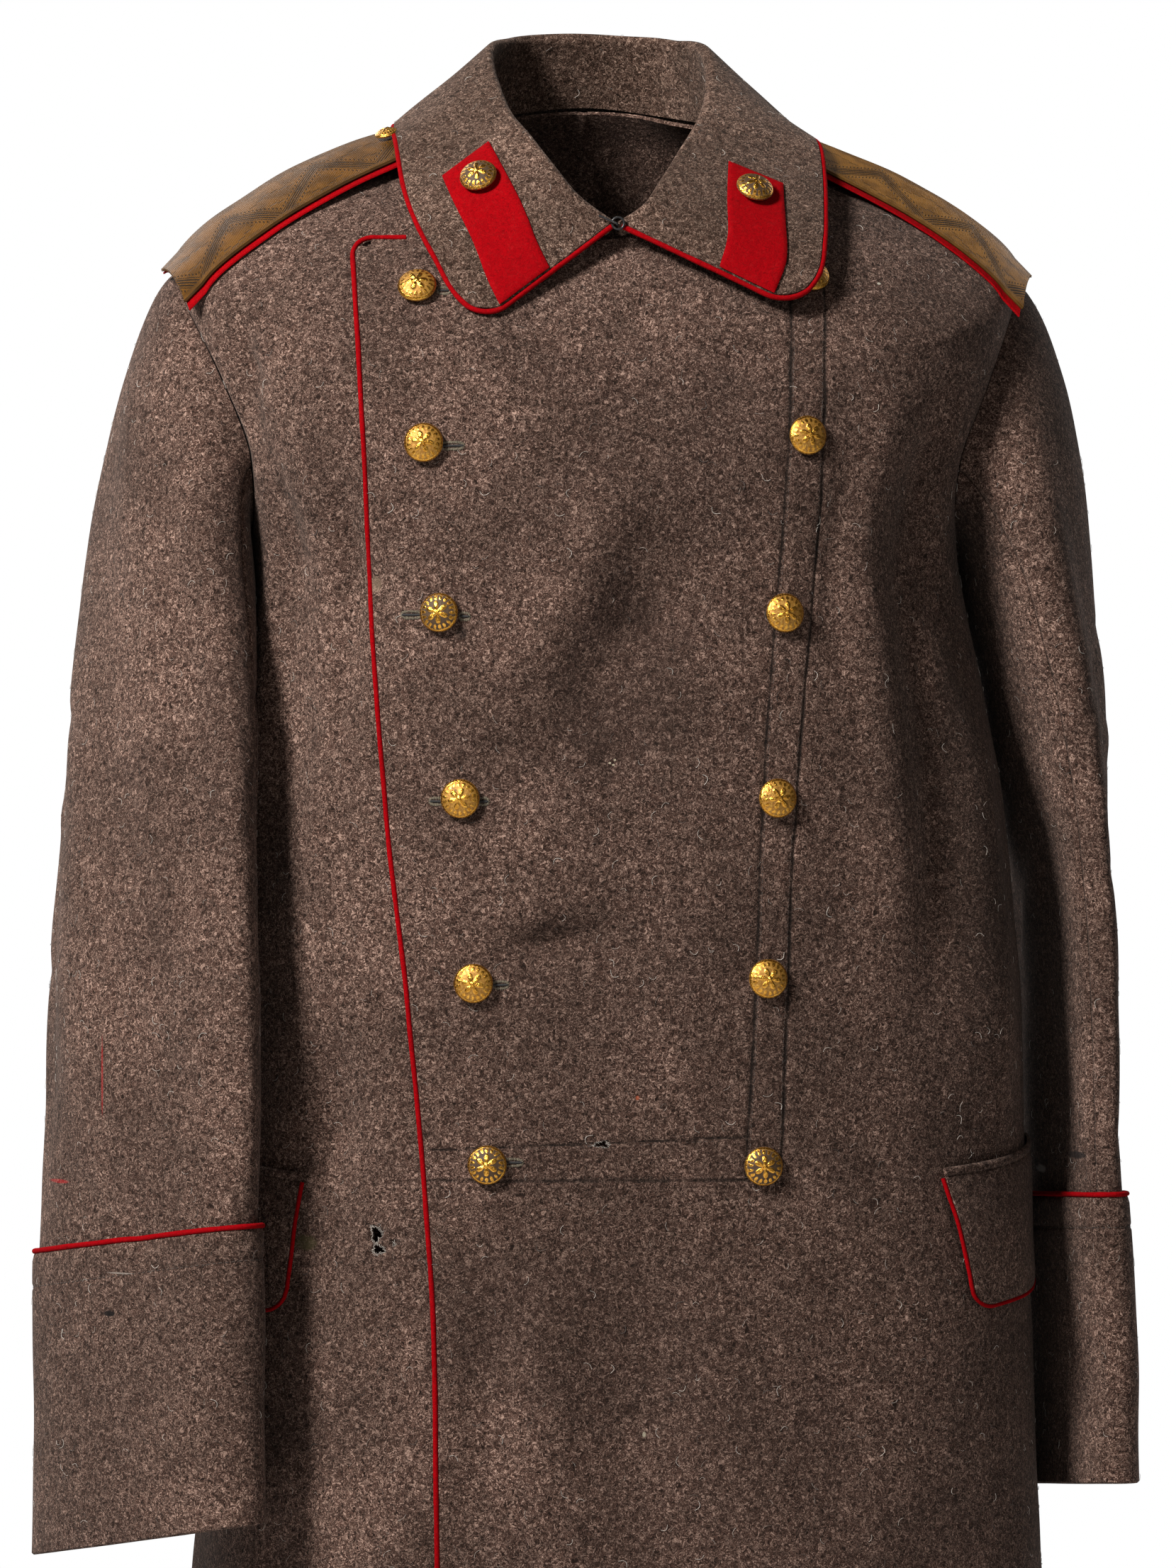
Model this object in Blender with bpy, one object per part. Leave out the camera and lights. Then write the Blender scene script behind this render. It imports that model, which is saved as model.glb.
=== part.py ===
# A double-breasted military greatcoat, worn and hollow, with open neck, cuffs and hem.
# Metres. The origin is between the neck points, where the wearer's shoulders hold the coat.
# +x is the wearer's left, -y the front, +z up. Each cloth piece is a wall on a body, sleeve or collar surface.
import math

import bmesh
import bpy
import numpy as np
from mathutils import Matrix, Vector

CLOTH = 0.0025
COLLAR_CLOTH = 0.003
FELT = 0.0012
SEAM_GAP = 0.0003
LAYER_GAP = 0.0013
HEM_Z = -1.25

BUTTON_RADIUS = 0.011
BUTTON_HEIGHT = 0.0062
SHANK_RADIUS = 0.003
SHANK_HEIGHT = 0.0022
BUTTON_SIDES = 12
BUTTON_GAP = 0.0004

PIPING_RADIUS = 0.0015
FRONT_PIPING_RISE = 0.0008  # how far the piping stands above the middle of the over-front's cloth
OVERLAP_TOP_Z = -0.076
OVERLAP_CORNER = 0.010

# One row for each ring of the body, from the neckline over the shoulders to the hem. The heights are those of
# its side, front and back points; square is the superellipse power; drop says how soon it falls from the side.
BODY_COLUMNS = (
    "side_z", "front_z", "back_z", "half_width", "front", "back", "square", "drop", "centre_x", "centre_y"
)
BODY_ROWS = (
    (0.000, -0.075, 0.018, 0.078, 0.107, 0.068, 2.2, 1.7, 0.000, 0.010),
    (-0.013, -0.094, -0.001, 0.121, 0.117, 0.090, 2.2, 1.6, 0.000, 0.010),
    (-0.025, -0.113, -0.024, 0.163, 0.126, 0.105, 2.3, 1.5, 0.000, 0.009),
    (-0.045, -0.135, -0.052, 0.206, 0.134, 0.113, 2.4, 1.5, 0.000, 0.007),
    (-0.086, -0.168, -0.090, 0.246, 0.140, 0.117, 2.5, 1.6, 0.000, 0.004),
    (-0.135, -0.208, -0.138, 0.236, 0.144, 0.119, 2.5, 1.8, 0.000, 0.000),
    (-0.190, -0.248, -0.190, 0.217, 0.147, 0.119, 2.5, 2.0, 0.000, 0.000),
    (-0.245, -0.288, -0.245, 0.207, 0.149, 0.117, 2.5, 2.0, 0.003, 0.000),
    (-0.320, -0.340, -0.320, 0.215, 0.150, 0.113, 2.5, 2.0, 0.009, 0.000),
    (-0.410, -0.415, -0.410, 0.226, 0.150, 0.109, 2.5, 2.0, 0.013, 0.000),
    (-0.520, -0.520, -0.520, 0.234, 0.150, 0.112, 2.5, 2.0, 0.014, 0.000),
    (-0.640, -0.640, -0.640, 0.237, 0.152, 0.120, 2.5, 2.0, 0.014, 0.000),
    (-0.780, -0.780, -0.780, 0.2435, 0.155, 0.128, 2.4, 2.0, 0.014, 0.000),
    (-0.930, -0.930, -0.930, 0.253, 0.160, 0.136, 2.4, 2.0, 0.013, 0.000),
    (-1.090, -1.090, -1.090, 0.259, 0.166, 0.143, 2.3, 2.0, 0.013, 0.000),
    (HEM_Z, HEM_Z, HEM_Z, 0.266, 0.172, 0.150, 2.3, 2.0, 0.013, 0.000),
)
TIP_ROW, UNDERARM_ROW, HEM_ROW = 4, 7, len(BODY_ROWS) - 1
EDGE_STEPS = 601
PANEL_ROWS = (6, 8, 14)  # steps of every body panel above the shoulder tip, at the armhole and below it
OVERLAP_COLUMNS, FRONT_COLUMNS, SIDE_COLUMNS, BACK_COLUMNS = 13, 9, 7, 9
TOP_REACH = 3.0  # the body row down to which the over-front's rows follow its lowered top
# Where the over-front comes down past the underlap, as parts of the way to the side.
LIFT_START, LIFT_LENGTH = 0.12, 0.6
ARMHOLE_FRONT, ARMHOLE_BACK = 26, 22  # degrees that the armhole cuts into the front and the back
SIDE_SEAM_TURN = 15  # degrees that the side seam lies behind the side, below the armhole

# The over-front's piped edge and the hidden underlap's edge, as distances from the centre at each height.
EDGE_COLUMNS = ("z", "piped_x", "underlap_x")
EDGE_ROWS = (
    (-0.060, -0.146, 0.098),
    (-0.120, -0.145, 0.098),
    (-0.200, -0.141, 0.096),
    (-0.300, -0.136, 0.090),
    (-0.400, -0.129, 0.084),
    (-0.500, -0.118, 0.078),
    (-0.600, -0.109, 0.076),
    (-0.700, -0.103, 0.078),
    (-0.850, -0.102, 0.080),
    (HEM_Z, -0.103, 0.080),
)

# Soft folds: a trough has a depth below 0 and a ridge one above 0. Each runs from one place to another, given
# as degrees from the front centre and a height. It dies away at both ends unless it runs out at the hem.
FOLD_COLUMNS = ("from_deg", "from_z", "to_deg", "to_z", "depth", "width")
FOLD_ROWS = (
    (-58, -0.16, -55, -0.44, -0.009, 0.020),
    (-68, -0.20, -66, -0.55, 0.006, 0.018),
    (-46, -0.52, -44, -0.70, -0.006, 0.022),
    (12, -0.20, -26, -0.33, 0.004, 0.026),
    (16, -0.26, -24, -0.37, -0.004, 0.020),
    (-6, -0.33, -24, -0.42, -0.004, 0.016),
    (4, -0.47, -22, -0.48, -0.004, 0.014),
    (43, -0.13, 62, -0.36, -0.006, 0.022),
    (56, -0.30, 57, -0.62, 0.006, 0.024),
    (-24, -0.66, -20, -1.30, -0.010, 0.022),
    (-36, -0.70, -37, -1.30, 0.010, 0.024),
    (-60, -0.74, -62, -1.30, 0.012, 0.030),
    (-48, -0.72, -50, -1.30, -0.008, 0.020),
    (-10, -0.70, -8, -1.30, 0.008, 0.024),
    (3, -0.62, 8, -1.30, -0.012, 0.030),
    (24, -0.62, 20, -1.30, 0.010, 0.028),
    (38, -0.74, 37, -1.30, -0.009, 0.026),
    (58, -0.70, 58, -1.30, 0.010, 0.030),
    (80, -0.76, 82, -1.30, -0.008, 0.028),
    (-82, -0.72, -84, -1.30, -0.008, 0.026),
    (104, -0.80, 106, -1.30, 0.012, 0.032),
    (-104, -0.64, -107, -1.30, 0.012, 0.032),
    (128, -0.18, 122, -0.44, -0.007, 0.022),
    (-126, -0.18, -121, -0.42, -0.006, 0.022),
    (130, -0.50, 130, -1.30, -0.011, 0.026),
    (-131, -0.52, -133, -1.30, -0.011, 0.028),
    (150, -0.46, 151, -1.30, 0.012, 0.030),
    (-152, -0.48, -151, -1.30, 0.011, 0.030),
    (168, -0.42, 169, -1.30, -0.008, 0.024),
    (-169, -0.44, -170, -1.30, -0.008, 0.024),
    (154, -0.24, -158, -0.30, -0.004, 0.020),
)
DEGREE_WIDTH = 0.0038  # metres of cloth for each degree round the body
# Parts of a fold's length over which it dies away, or over which one that reaches the hem swells.
FOLD_END, HEM_FOLD_START = 0.35, 0.75

# One row for each level of a sleeve: the place of its middle, its half length and half thickness, how far its
# long side turns in at the front (degrees) and how far its inner front corner is raised.
SLEEVE_COLUMNS = ("z", "out", "fore", "long", "short", "turn", "rise")
SLEEVE_RIGHT_ROWS = (
    (-0.275, 0.2520, 0.010, 0.087, 0.0345, 22, 0.000),
    (-0.340, 0.2562, 0.034, 0.086, 0.0305, 31, 0.000),
    (-0.420, 0.2598, 0.056, 0.085, 0.0280, 36, 0.002),
    (-0.500, 0.2618, 0.070, 0.085, 0.0270, 40, 0.005),
    (-0.580, 0.2625, 0.078, 0.084, 0.0260, 42, 0.008),
    (-0.660, 0.2640, 0.082, 0.083, 0.0260, 43, 0.012),
    (-0.740, 0.2640, 0.084, 0.083, 0.0260, 43, 0.014),
    (-0.812, 0.2640, 0.084, 0.084, 0.0260, 43, 0.015),
)
SLEEVE_LEFT_ROWS = (
    (-0.275, 0.2585, 0.000, 0.088, 0.0340, 2, 0.000),
    (-0.340, 0.2685, -0.003, 0.087, 0.0290, -2, 0.000),
    (-0.420, 0.2740, -0.005, 0.087, 0.0240, -5, 0.000),
    (-0.500, 0.2765, -0.005, 0.086, 0.0210, -7, 0.001),
    (-0.580, 0.2765, -0.004, 0.086, 0.0185, -8, 0.003),
    (-0.660, 0.2805, -0.002, 0.086, 0.0180, -8, 0.006),
    (-0.740, 0.2845, 0.000, 0.085, 0.0180, -8, 0.008),
    (-0.795, 0.2840, 0.000, 0.086, 0.0180, -8, 0.009),
)
SLEEVE_SQUARE = 2.2
SLEEVE_SEAMS = (112.5, 247.5)  # degrees round the sleeve from its outer side, over the front
SLEEVE_HEAD_GAP = 0.0009  # between the armhole and the sleeve that leaves it
HEAD_LEAN, HEAD_DROP = 0.20, 0.6  # how far the sleeve leaves the armhole to the front and back, and downwards
HEAD_FULLNESS = (0.30, 0.25)  # how straight it leaves under the arm, and how much more so at the shoulder
SLEEVE_SEAM_TURN = 0.0025  # half a seam gap as an angle round the sleeve
CUFF_HEIGHT = 0.168
CUFF_COLUMNS = 16
CUFF_TURN = 0.012  # the sleeve ends this far above the cuff's hem
# Soft folds of a sleeve: degrees round it, the heights it runs between, its depth and its width in degrees.
SLEEVE_FOLD_COLUMNS = ("deg", "top_z", "bottom_z", "depth", "width")
SLEEVE_FOLD_ROWS = (
    (48, -0.14, -0.50, -0.005, 18),
    (78, -0.30, -0.66, 0.004, 16),
    (20, -0.40, -0.78, -0.004, 20),
    (335, -0.16, -0.60, 0.004, 18),
    (300, -0.24, -0.66, -0.005, 18),
    (268, -0.36, -0.70, 0.004, 16),
    (152, -0.34, -0.66, -0.004, 20),
    (208, -0.36, -0.70, -0.004, 20),
)
SLEEVE_FOLD_END = 0.3  # part of a fold's length over which it dies away

# The collar from the wearer's right front round the back to the left front: the angle of its seam on the
# neckline, the top of the roll, and the free edge.
COLLAR_COLUMNS = ("seam_deg", "roll_x", "roll_y", "roll_z", "edge_x", "edge_y", "edge_z")
COLLAR_ROWS = (
    (-3, -0.0030, -0.1105, -0.0660, -0.0753, -0.1275, -0.1215),
    (-20, -0.0195, -0.1045, -0.0520, -0.0900, -0.1180, -0.1065),
    (-34, -0.0324, -0.0910, -0.0342, -0.1010, -0.1040, -0.0845),
    (-46, -0.0448, -0.0710, -0.0143, -0.1100, -0.0860, -0.0635),
    (-58, -0.0545, -0.0480, 0.0015, -0.1150, -0.0650, -0.0440),
    (-74, -0.0600, -0.0210, 0.0225, -0.1180, -0.0370, -0.0150),
    (-96, -0.0615, 0.0100, 0.0450, -0.1168, 0.0080, 0.0010),
    (-138, -0.0460, 0.0430, 0.0560, -0.0980, 0.0760, 0.0060),
    (180, 0.0000, 0.0560, 0.0600, 0.0000, 0.1080, 0.0020),
    (138, 0.0490, 0.0430, 0.0560, 0.1010, 0.0760, 0.0060),
    (96, 0.0665, 0.0100, 0.0450, 0.1220, 0.0080, -0.0010),
    (74, 0.0645, -0.0200, 0.0200, 0.1255, -0.0340, -0.0115),
    (58, 0.0558, -0.0460, -0.0005, 0.1245, -0.0610, -0.0326),
    (46, 0.0420, -0.0690, -0.0205, 0.1220, -0.0850, -0.0527),
    (34, 0.0300, -0.0890, -0.0382, 0.1190, -0.1050, -0.0724),
    (20, 0.0182, -0.1045, -0.0550, 0.1130, -0.1215, -0.0950),
    (3, 0.0045, -0.1105, -0.0660, 0.0985, -0.1300, -0.1120),
)
ROLL_RADIUS = 0.0022
SEAM_RISE = 0.0038  # how far the collar's base stands above the neckline
STAND_END, FALL_START = 0.30, 0.40  # fractions across the collar, from its seam over the roll to its free edge
TIP_ALONG, TIP_ACROSS = 0.020, 0.090  # where each tip's rounding starts, as fractions round and across
COLLAR_ALONG_STEPS = 20

# The front and rear end of each collar tab, as fractions: how far round the collar from its front end, and
# how far down the fall its upper and lower corners are.
TABS = {
    "right": ((0.002, 0.50, 0.88), (0.100, 0.20, 0.62)),
    "left": ((0.002, 0.58, 0.90), (0.095, 0.26, 0.70)),
}
TAB_GAP = 0.0006
TAB_BUTTON_PLACE = 0.78
TAB_BUTTON_RADIUS = 0.0108

# Shoulder boards, seen from above: the middle line from under the collar to the shoulder's tip, and half
# the width.
BOARD_COLUMNS = ("out", "fore", "half")
BOARD_ROWS = (
    (0.106, 0.008, 0.0255),
    (0.130, 0.012, 0.0255),
    (0.158, 0.017, 0.0250),
    (0.190, 0.024, 0.0245),
    (0.236, 0.034, 0.0240),
)
BOARD_STEPS = 10
BOARD_OVERHANG = 0.014  # how far the stiff board runs on past the shoulder's tip
BOARD_TURN = 14  # degrees that the outer end points forward
BOARD_THICKNESS = 0.0022
BOARD_FELT = 0.0013
BOARD_GAP = 0.0010
FELT_BORDER = 0.0022
BOARD_BUTTON_RADIUS = 0.0068
BOARD_BUTTONS = (("right", -1, 0.1235, 0.003), ("left", 1, 0.1150, 0.000))  # word, side, out and back

# Buttons on the front, as seen: distance from the centre and height, in rows from the neck down.
BUTTON_COLUMNS = ("right_x", "right_z", "left_x", "left_z")
BUTTON_ROWS = (
    (-0.1120, -0.1060, 0.1110, -0.0980),
    (-0.1100, -0.1930, 0.1045, -0.1875),
    (-0.1005, -0.2880, 0.0910, -0.2880),
    (-0.0898, -0.3920, 0.0860, -0.3920),
    (-0.0828, -0.4955, 0.0810, -0.4935),
    (-0.0752, -0.5975, 0.0785, -0.5985),
)

# The pocket flaps: the angles of their front and rear ends from the front centre, how far the front end slants
# back (degrees), the heights of the top at both ends, the depth, and the gap to the coat.
FLAP_COLUMNS = ("word", "side", "front_deg", "rear_deg", "slant", "front_z", "rear_z", "depth", "gap")
FLAP_ROWS = (
    ("right", -1, 50.2, 92.0, 1.2, -0.6095, -0.5960, 0.073, 0.0012),
    ("left", 1, 42.4, 86.0, 4.0, -0.6080, -0.5945, 0.074, 0.0016),
)
FLAP_PLACES = (0.0, 0.05, 0.12, 0.24, 0.38, 0.52, 0.66, 0.80, 0.90, 0.96, 1.0)
FLAP_CORNER = 0.12  # fraction of the flap's length over which its lower corners are rounded
FLAP_CORNER_RISE = 0.014
FLAP_LIFT = 0.0035  # how far the free edge stands off the coat, towards the flap's front end
FLAP_LIFT_END, FLAP_LIFT_EASE = 0.3, 0.4
FLAP_PIPING_RADIUS = 0.0012
WELT_HEIGHT = 0.005
WELT_GAP = 0.0006

# Moth holes wider than 4 mm: the piece they go through, their place as seen from the front and their radius.
HOLE_COLUMNS = ("piece", "x", "z", "radius", "stretch")
HOLE_ROWS = (
    ("front_right", -0.1370, -0.6385, 0.0030, 1.4),
    ("front_right", -0.1365, -0.6475, 0.0028, 0.8),
    ("front_left", -0.0105, -0.5870, 0.0034, 0.7),
)

# The hook and eye that close the neck: a ring, and a bent wire that ends in it.
WIRE_RADIUS = 0.0007
EYE_RADIUS = 0.0034
EYE_PLACE = (0.0012, -0.1135, -0.0660)
HOOK_POINTS = (
    (-0.0110, -0.0006, 0.0042),
    (-0.0080, -0.0012, 0.0030),
    (-0.0055, -0.0018, 0.0016),
    (-0.0028, -0.0024, 0.0004),
    (-0.0008, -0.0022, -0.0006),
    (0.0000, -0.0008, -0.0012),
    (-0.0006, 0.0010, -0.0012),
)

LOOKS = {
    "wool": ((0.110, 0.078, 0.062), 0.95, 0.0),
    "red_felt": ((0.550, 0.010, 0.014), 0.85, 0.0),
    "gilt": ((0.720, 0.470, 0.130), 0.35, 1.0),
    "lace": ((0.330, 0.215, 0.055), 0.50, 0.6),
    "black_wire": ((0.020, 0.020, 0.022), 0.45, 0.3),
}


def table(columns, rows):
    """Each named column of the rows as an array."""
    return {name: np.array([row[i] for row in rows]) for i, name in enumerate(columns)}


def smooth(places, values, at):
    """Values at the given places, from a cubic curve that doesn't overshoot its points."""
    steps = np.diff(places)
    slopes = np.diff(values) / steps
    ends = np.zeros(len(values))
    same_way = slopes[1:] * slopes[:-1] > 0
    both = np.where(same_way, slopes[1:] + slopes[:-1], 1.0)
    ends[1:-1] = np.where(same_way, 2 * slopes[1:] * slopes[:-1] / both, 0.0)
    ends[0], ends[-1] = slopes[0], slopes[-1]
    inside = np.clip(at, places[0], places[-1])
    i = np.clip(np.searchsorted(places, inside, side="right") - 1, 0, len(steps) - 1)
    f = (inside - places[i]) / steps[i]
    start, end = values[i], values[i + 1]
    leaving, arriving = ends[i] * steps[i], ends[i + 1] * steps[i]
    beyond = (at - inside) * np.where(at < inside, ends[0], ends[-1])
    return (
        start * (1 + 2 * f) * (1 - f) ** 2
        + leaving * f * (1 - f) ** 2
        + end * f**2 * (3 - 2 * f)
        + arriving * f**2 * (f - 1)
        + beyond
    )


def ease(x):
    """0 below 0, 1 above 1, and a soft step between."""
    x = np.clip(x, 0.0, 1.0)
    return x * x * (3 - 2 * x)


def unit(vectors):
    return vectors / np.linalg.norm(vectors, axis=-1, keepdims=True)


def dot(first, second):
    return np.sum(first * second, axis=-1, keepdims=True)


BODY = table(BODY_COLUMNS, BODY_ROWS)
EDGES = table(EDGE_COLUMNS, EDGE_ROWS)
FOLDS = table(FOLD_COLUMNS, FOLD_ROWS)
SLEEVE_FOLDS = table(SLEEVE_FOLD_COLUMNS, SLEEVE_FOLD_ROWS)
SLEEVES = {-1: table(SLEEVE_COLUMNS, SLEEVE_RIGHT_ROWS), 1: table(SLEEVE_COLUMNS, SLEEVE_LEFT_ROWS)}


def body_base(row, angle):
    """The body's smooth surface at a row number of its table and an angle from the front centre."""
    row, angle = np.broadcast_arrays(np.asarray(row, float), np.asarray(angle, float))
    places = np.arange(len(BODY_ROWS), dtype=float)
    ring = {name: smooth(places, values, row) for name, values in BODY.items()}
    sine, cosine = np.sin(angle), np.cos(angle)
    reach = (np.abs(sine) ** ring["square"] + np.abs(cosine) ** ring["square"]) ** (-1 / ring["square"])
    in_front = cosine > 0
    x = ring["centre_x"] + ring["half_width"] * reach * sine
    y = ring["centre_y"] - np.where(in_front, ring["front"], ring["back"]) * reach * cosine
    far_z = np.where(in_front, ring["front_z"], ring["back_z"])
    z = ring["side_z"] + (far_z - ring["side_z"]) * np.abs(cosine) ** ring["drop"]
    return np.stack([x, y, z], axis=-1)


def fold_height(angle, z):
    """How far the folds move the cloth out at an angle and a height."""
    degrees = np.degrees(angle)
    total = np.zeros(np.shape(z))
    for i in range(len(FOLD_ROWS)):
        fold = {name: values[i] for name, values in FOLDS.items()}
        whole_turn = (fold["to_deg"] - fold["from_deg"] + 180) % 360 - 180
        run = np.array([whole_turn * DEGREE_WIDTH, fold["to_z"] - fold["from_z"]])
        turn = (degrees - fold["from_deg"] + 180) % 360 - 180
        away = np.stack([turn * DEGREE_WIDTH, z - fold["from_z"]], axis=-1)
        along = away @ run / (run @ run)
        across = (away[..., 0] * run[1] - away[..., 1] * run[0]) / np.hypot(*run)
        swell = ease(along / FOLD_END) * ease((1.0 - along) / FOLD_END)
        if fold["to_z"] < HEM_Z:
            swell = ease(along / HEM_FOLD_START)
        total += fold["depth"] * swell * np.exp(-((across / fold["width"]) ** 2))
    return total


def surface(base_of, rows, angles, lift):
    """Points at the given lift from a surface, and its outward normals there."""
    step = 1e-3
    points = base_of(rows, angles)
    down = base_of(rows + step, angles) - base_of(rows - step, angles)
    across = base_of(rows, angles + step) - base_of(rows, angles - step)
    normals = unit(np.cross(down, across))
    return points + normals * np.asarray(lift)[..., None], normals


def body_folded(rows, angles):
    base, normals = surface(body_base, rows, angles, np.zeros(np.shape(angles)))
    return base + normals * fold_height(angles, base[..., 2])[..., None]


def body_place(rows, angles, lift):
    """Points and outward normals of the folded body, lifted off it."""
    rows, angles, lift = np.broadcast_arrays(*(np.asarray(v, float) for v in (rows, angles, lift)))
    return surface(body_folded, rows, angles, lift)


def angle_at_x(rows, x):
    """The angle on the front where each row reaches this distance from the centre."""
    low = np.full(np.shape(rows), math.radians(-89.0))
    high = -low
    for _ in range(30):
        middle = (low + high) / 2
        beyond = body_base(rows, middle)[..., 0] > x
        high, low = np.where(beyond, middle, high), np.where(beyond, low, middle)
    return (low + high) / 2


def place_at(axes, target, first):
    """The rows and angles of the body's points with the target's coordinates on two axes, from a first guess."""
    at = np.array(first, float)
    step = 1e-4
    for _ in range(12):
        here = body_base(at[..., 0], at[..., 1])[..., axes]
        by_row = (body_base(at[..., 0] + step, at[..., 1])[..., axes] - here) / step
        by_angle = (body_base(at[..., 0], at[..., 1] + step)[..., axes] - here) / step
        slopes = np.stack([by_row, by_angle], axis=-1)
        move = np.linalg.solve(slopes, (target - here)[..., None])[..., 0]
        at = at + np.clip(move, (-1.0, -0.2), (1.0, 0.2))
    return at[..., 0], at[..., 1]


def place_on_front(x, z):
    """The row and angle of the front's point at this distance from the centre and this height."""
    row = float(np.interp(-z, -BODY["front_z"], np.arange(len(BODY_ROWS))))
    return place_at([0, 2], np.array([x, z]), (row, math.asin(np.clip(x / 0.25, -0.9, 0.9))))


def place_on_shoulder(x, y):
    """The rows and angles of the shoulder's points seen at these places from above."""
    row = np.interp(np.abs(x), BODY["half_width"][: TIP_ROW + 1], np.arange(TIP_ROW + 1))
    first = np.stack([row, np.sign(x) * (math.pi / 2 + y / BODY["front"][0])], axis=-1)
    return place_at([0, 1], np.stack([x, y], axis=-1), first)


def row_at_z(angle, z):
    """The row where the body at this angle reaches a height."""
    low = np.zeros(np.shape(angle))
    high = np.full(np.shape(angle), float(HEM_ROW))
    for _ in range(40):
        middle = (low + high) / 2
        above = body_base(middle, angle)[..., 2] > z
        low, high = np.where(above, middle, low), np.where(above, high, middle)
    return (low + high) / 2


def edge_line(column):
    """The angles of the piped edge or the underlap's edge, at closely spaced rows."""
    rows = np.linspace(0, HEM_ROW, EDGE_STEPS)
    x = np.full(rows.shape, EDGES[column][0])
    for _ in range(4):
        angle = angle_at_x(rows, x)
        z = body_base(rows, angle)[..., 2]
        x = smooth(-EDGES["z"], EDGES[column], -z)
        if column == "piped_x":
            left = np.clip(OVERLAP_CORNER - (OVERLAP_TOP_Z - z), 0, OVERLAP_CORNER)
            x = x + OVERLAP_CORNER - np.sqrt(OVERLAP_CORNER**2 - left**2)
    return angle


def edge_angles(rows):
    """Angles of the piped edge and of the underlap's edge on each row."""
    places = np.linspace(0, HEM_ROW, EDGE_STEPS)
    return [np.interp(rows, places, line) for line in EDGE_LINES]


EDGE_LINES = [edge_line("piped_x"), edge_line("underlap_x")]


def side_angle(rows, front):
    """The angle where a panel ends at the side: shoulder seam, armhole or side seam."""
    hole = (rows - TIP_ROW) / (UNDERARM_ROW - TIP_ROW)
    inside = (hole > 0) & (hole < 1)
    bite = 2 * np.sqrt(np.where(inside, hole * (1 - hole), 0.0))
    turn = SIDE_SEAM_TURN * ease((rows - UNDERARM_ROW) / 2.5)
    cut = -ARMHOLE_FRONT * bite if front else ARMHOLE_BACK * bite
    return np.radians(90 + cut + turn)


def body_rows(above_tip, in_armhole, below):
    """Row numbers for a body panel, closer where the armhole turns."""
    upper = np.linspace(0, TIP_ROW, above_tip + 1)[:-1]
    round_hole = np.linspace(0, math.pi, in_armhole + 1)[:-1]
    hole = TIP_ROW + (UNDERARM_ROW - TIP_ROW) * (1 - np.cos(round_hole)) / 2
    lower = np.linspace(UNDERARM_ROW, HEM_ROW, below + 1)
    return np.concatenate([upper, hole, lower])


def new_look(name):
    colour, roughness, metallic = LOOKS[name]
    look = bpy.data.materials.new(name)
    look.use_nodes = True
    shader = look.node_tree.nodes["Principled BSDF"]
    shader.inputs["Base Color"].default_value = (*colour, 1.0)
    shader.inputs["Roughness"].default_value = roughness
    shader.inputs["Metallic"].default_value = metallic
    return look


def new_piece(name, points, faces, look):
    """An object from points and faces, turned to face outwards."""
    mesh = bpy.data.meshes.new(name)
    mesh.from_pydata([tuple(p) for p in points], [], faces)
    shape = bmesh.new()
    shape.from_mesh(mesh)
    bmesh.ops.recalc_face_normals(shape, faces=shape.faces)
    if shape.calc_volume(signed=True) < 0:
        bmesh.ops.reverse_faces(shape, faces=shape.faces)
    shape.to_mesh(mesh)
    shape.free()
    mesh.shade_smooth()
    mesh.set_sharp_from_angle(angle=math.radians(40))
    mesh.materials.append(look)
    piece = bpy.data.objects.new(name, mesh)
    bpy.context.scene.collection.objects.link(piece)
    return piece


def wall(name, outer, inner, look, ring=False):
    """A closed wall between two grids of points. A ring's last column joins its first.

    Every square is halved along the same diagonal, so that walls with the same grid lie evenly together."""
    rows, columns = outer.shape[:2]
    count = rows * columns

    def corner(i, j, side):
        return side * count + i * columns + j % columns

    faces = []
    for i in range(rows - 1):
        for j in range(columns if ring else columns - 1):
            a, b = corner(i, j, 0), corner(i, j + 1, 0)
            c, d = corner(i + 1, j + 1, 0), corner(i + 1, j, 0)
            faces += [(a, b, c), (a, c, d)]
            faces += [(c + count, b + count, a + count), (d + count, c + count, a + count)]
    for j in range(columns if ring else columns - 1):
        for i in (0, rows - 1):
            faces.append((corner(i, j, 0), corner(i, j + 1, 0), corner(i, j + 1, 1), corner(i, j, 1)))
    if not ring:
        for i in range(rows - 1):
            for j in (0, columns - 1):
                faces.append((corner(i, j, 0), corner(i + 1, j, 0), corner(i + 1, j, 1), corner(i, j, 1)))
    return new_piece(name, np.concatenate([outer.reshape(-1, 3), inner.reshape(-1, 3)]), faces, look)


def tube(name, path, normals, radius, look, sides=6, ring=False):
    """A round piping or wire along a path. The normals keep its rings from twisting."""
    path = np.asarray(path, float)
    along = np.gradient(path, axis=0)
    if ring:
        along = np.roll(path, -1, axis=0) - np.roll(path, 1, axis=0)
    along = unit(along)
    up = unit(normals - along * dot(normals, along))
    across = np.cross(along, up)
    turns = np.arange(sides) * 2 * math.pi / sides
    rings = [path + radius * (across * math.cos(t) + up * math.sin(t)) for t in turns]
    points = np.stack(rings, axis=1)
    count = len(path)
    faces = []
    for i in range(count if ring else count - 1):
        for j in range(sides):
            a, b = i * sides, (i + 1) % count * sides
            k = (j + 1) % sides
            faces.append([a + j, a + k, b + k, b + j])
    if not ring:
        faces += [list(range(sides)), [(count - 1) * sides + j for j in reversed(range(sides))]]
    return new_piece(name, points.reshape(-1, 3), faces, look)


def panel_columns(knots, counts):
    """Angles of a panel's columns, evenly spaced between its knot lines. Each row of the result is one row."""
    parts = []
    for i, count in enumerate(counts):
        f = np.linspace(0, 1, count + 1)[(1 if i else 0):]
        parts.append(knots[i][:, None] * (1 - f) + knots[i + 1][:, None] * f)
    return np.concatenate(parts, axis=1)


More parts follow.
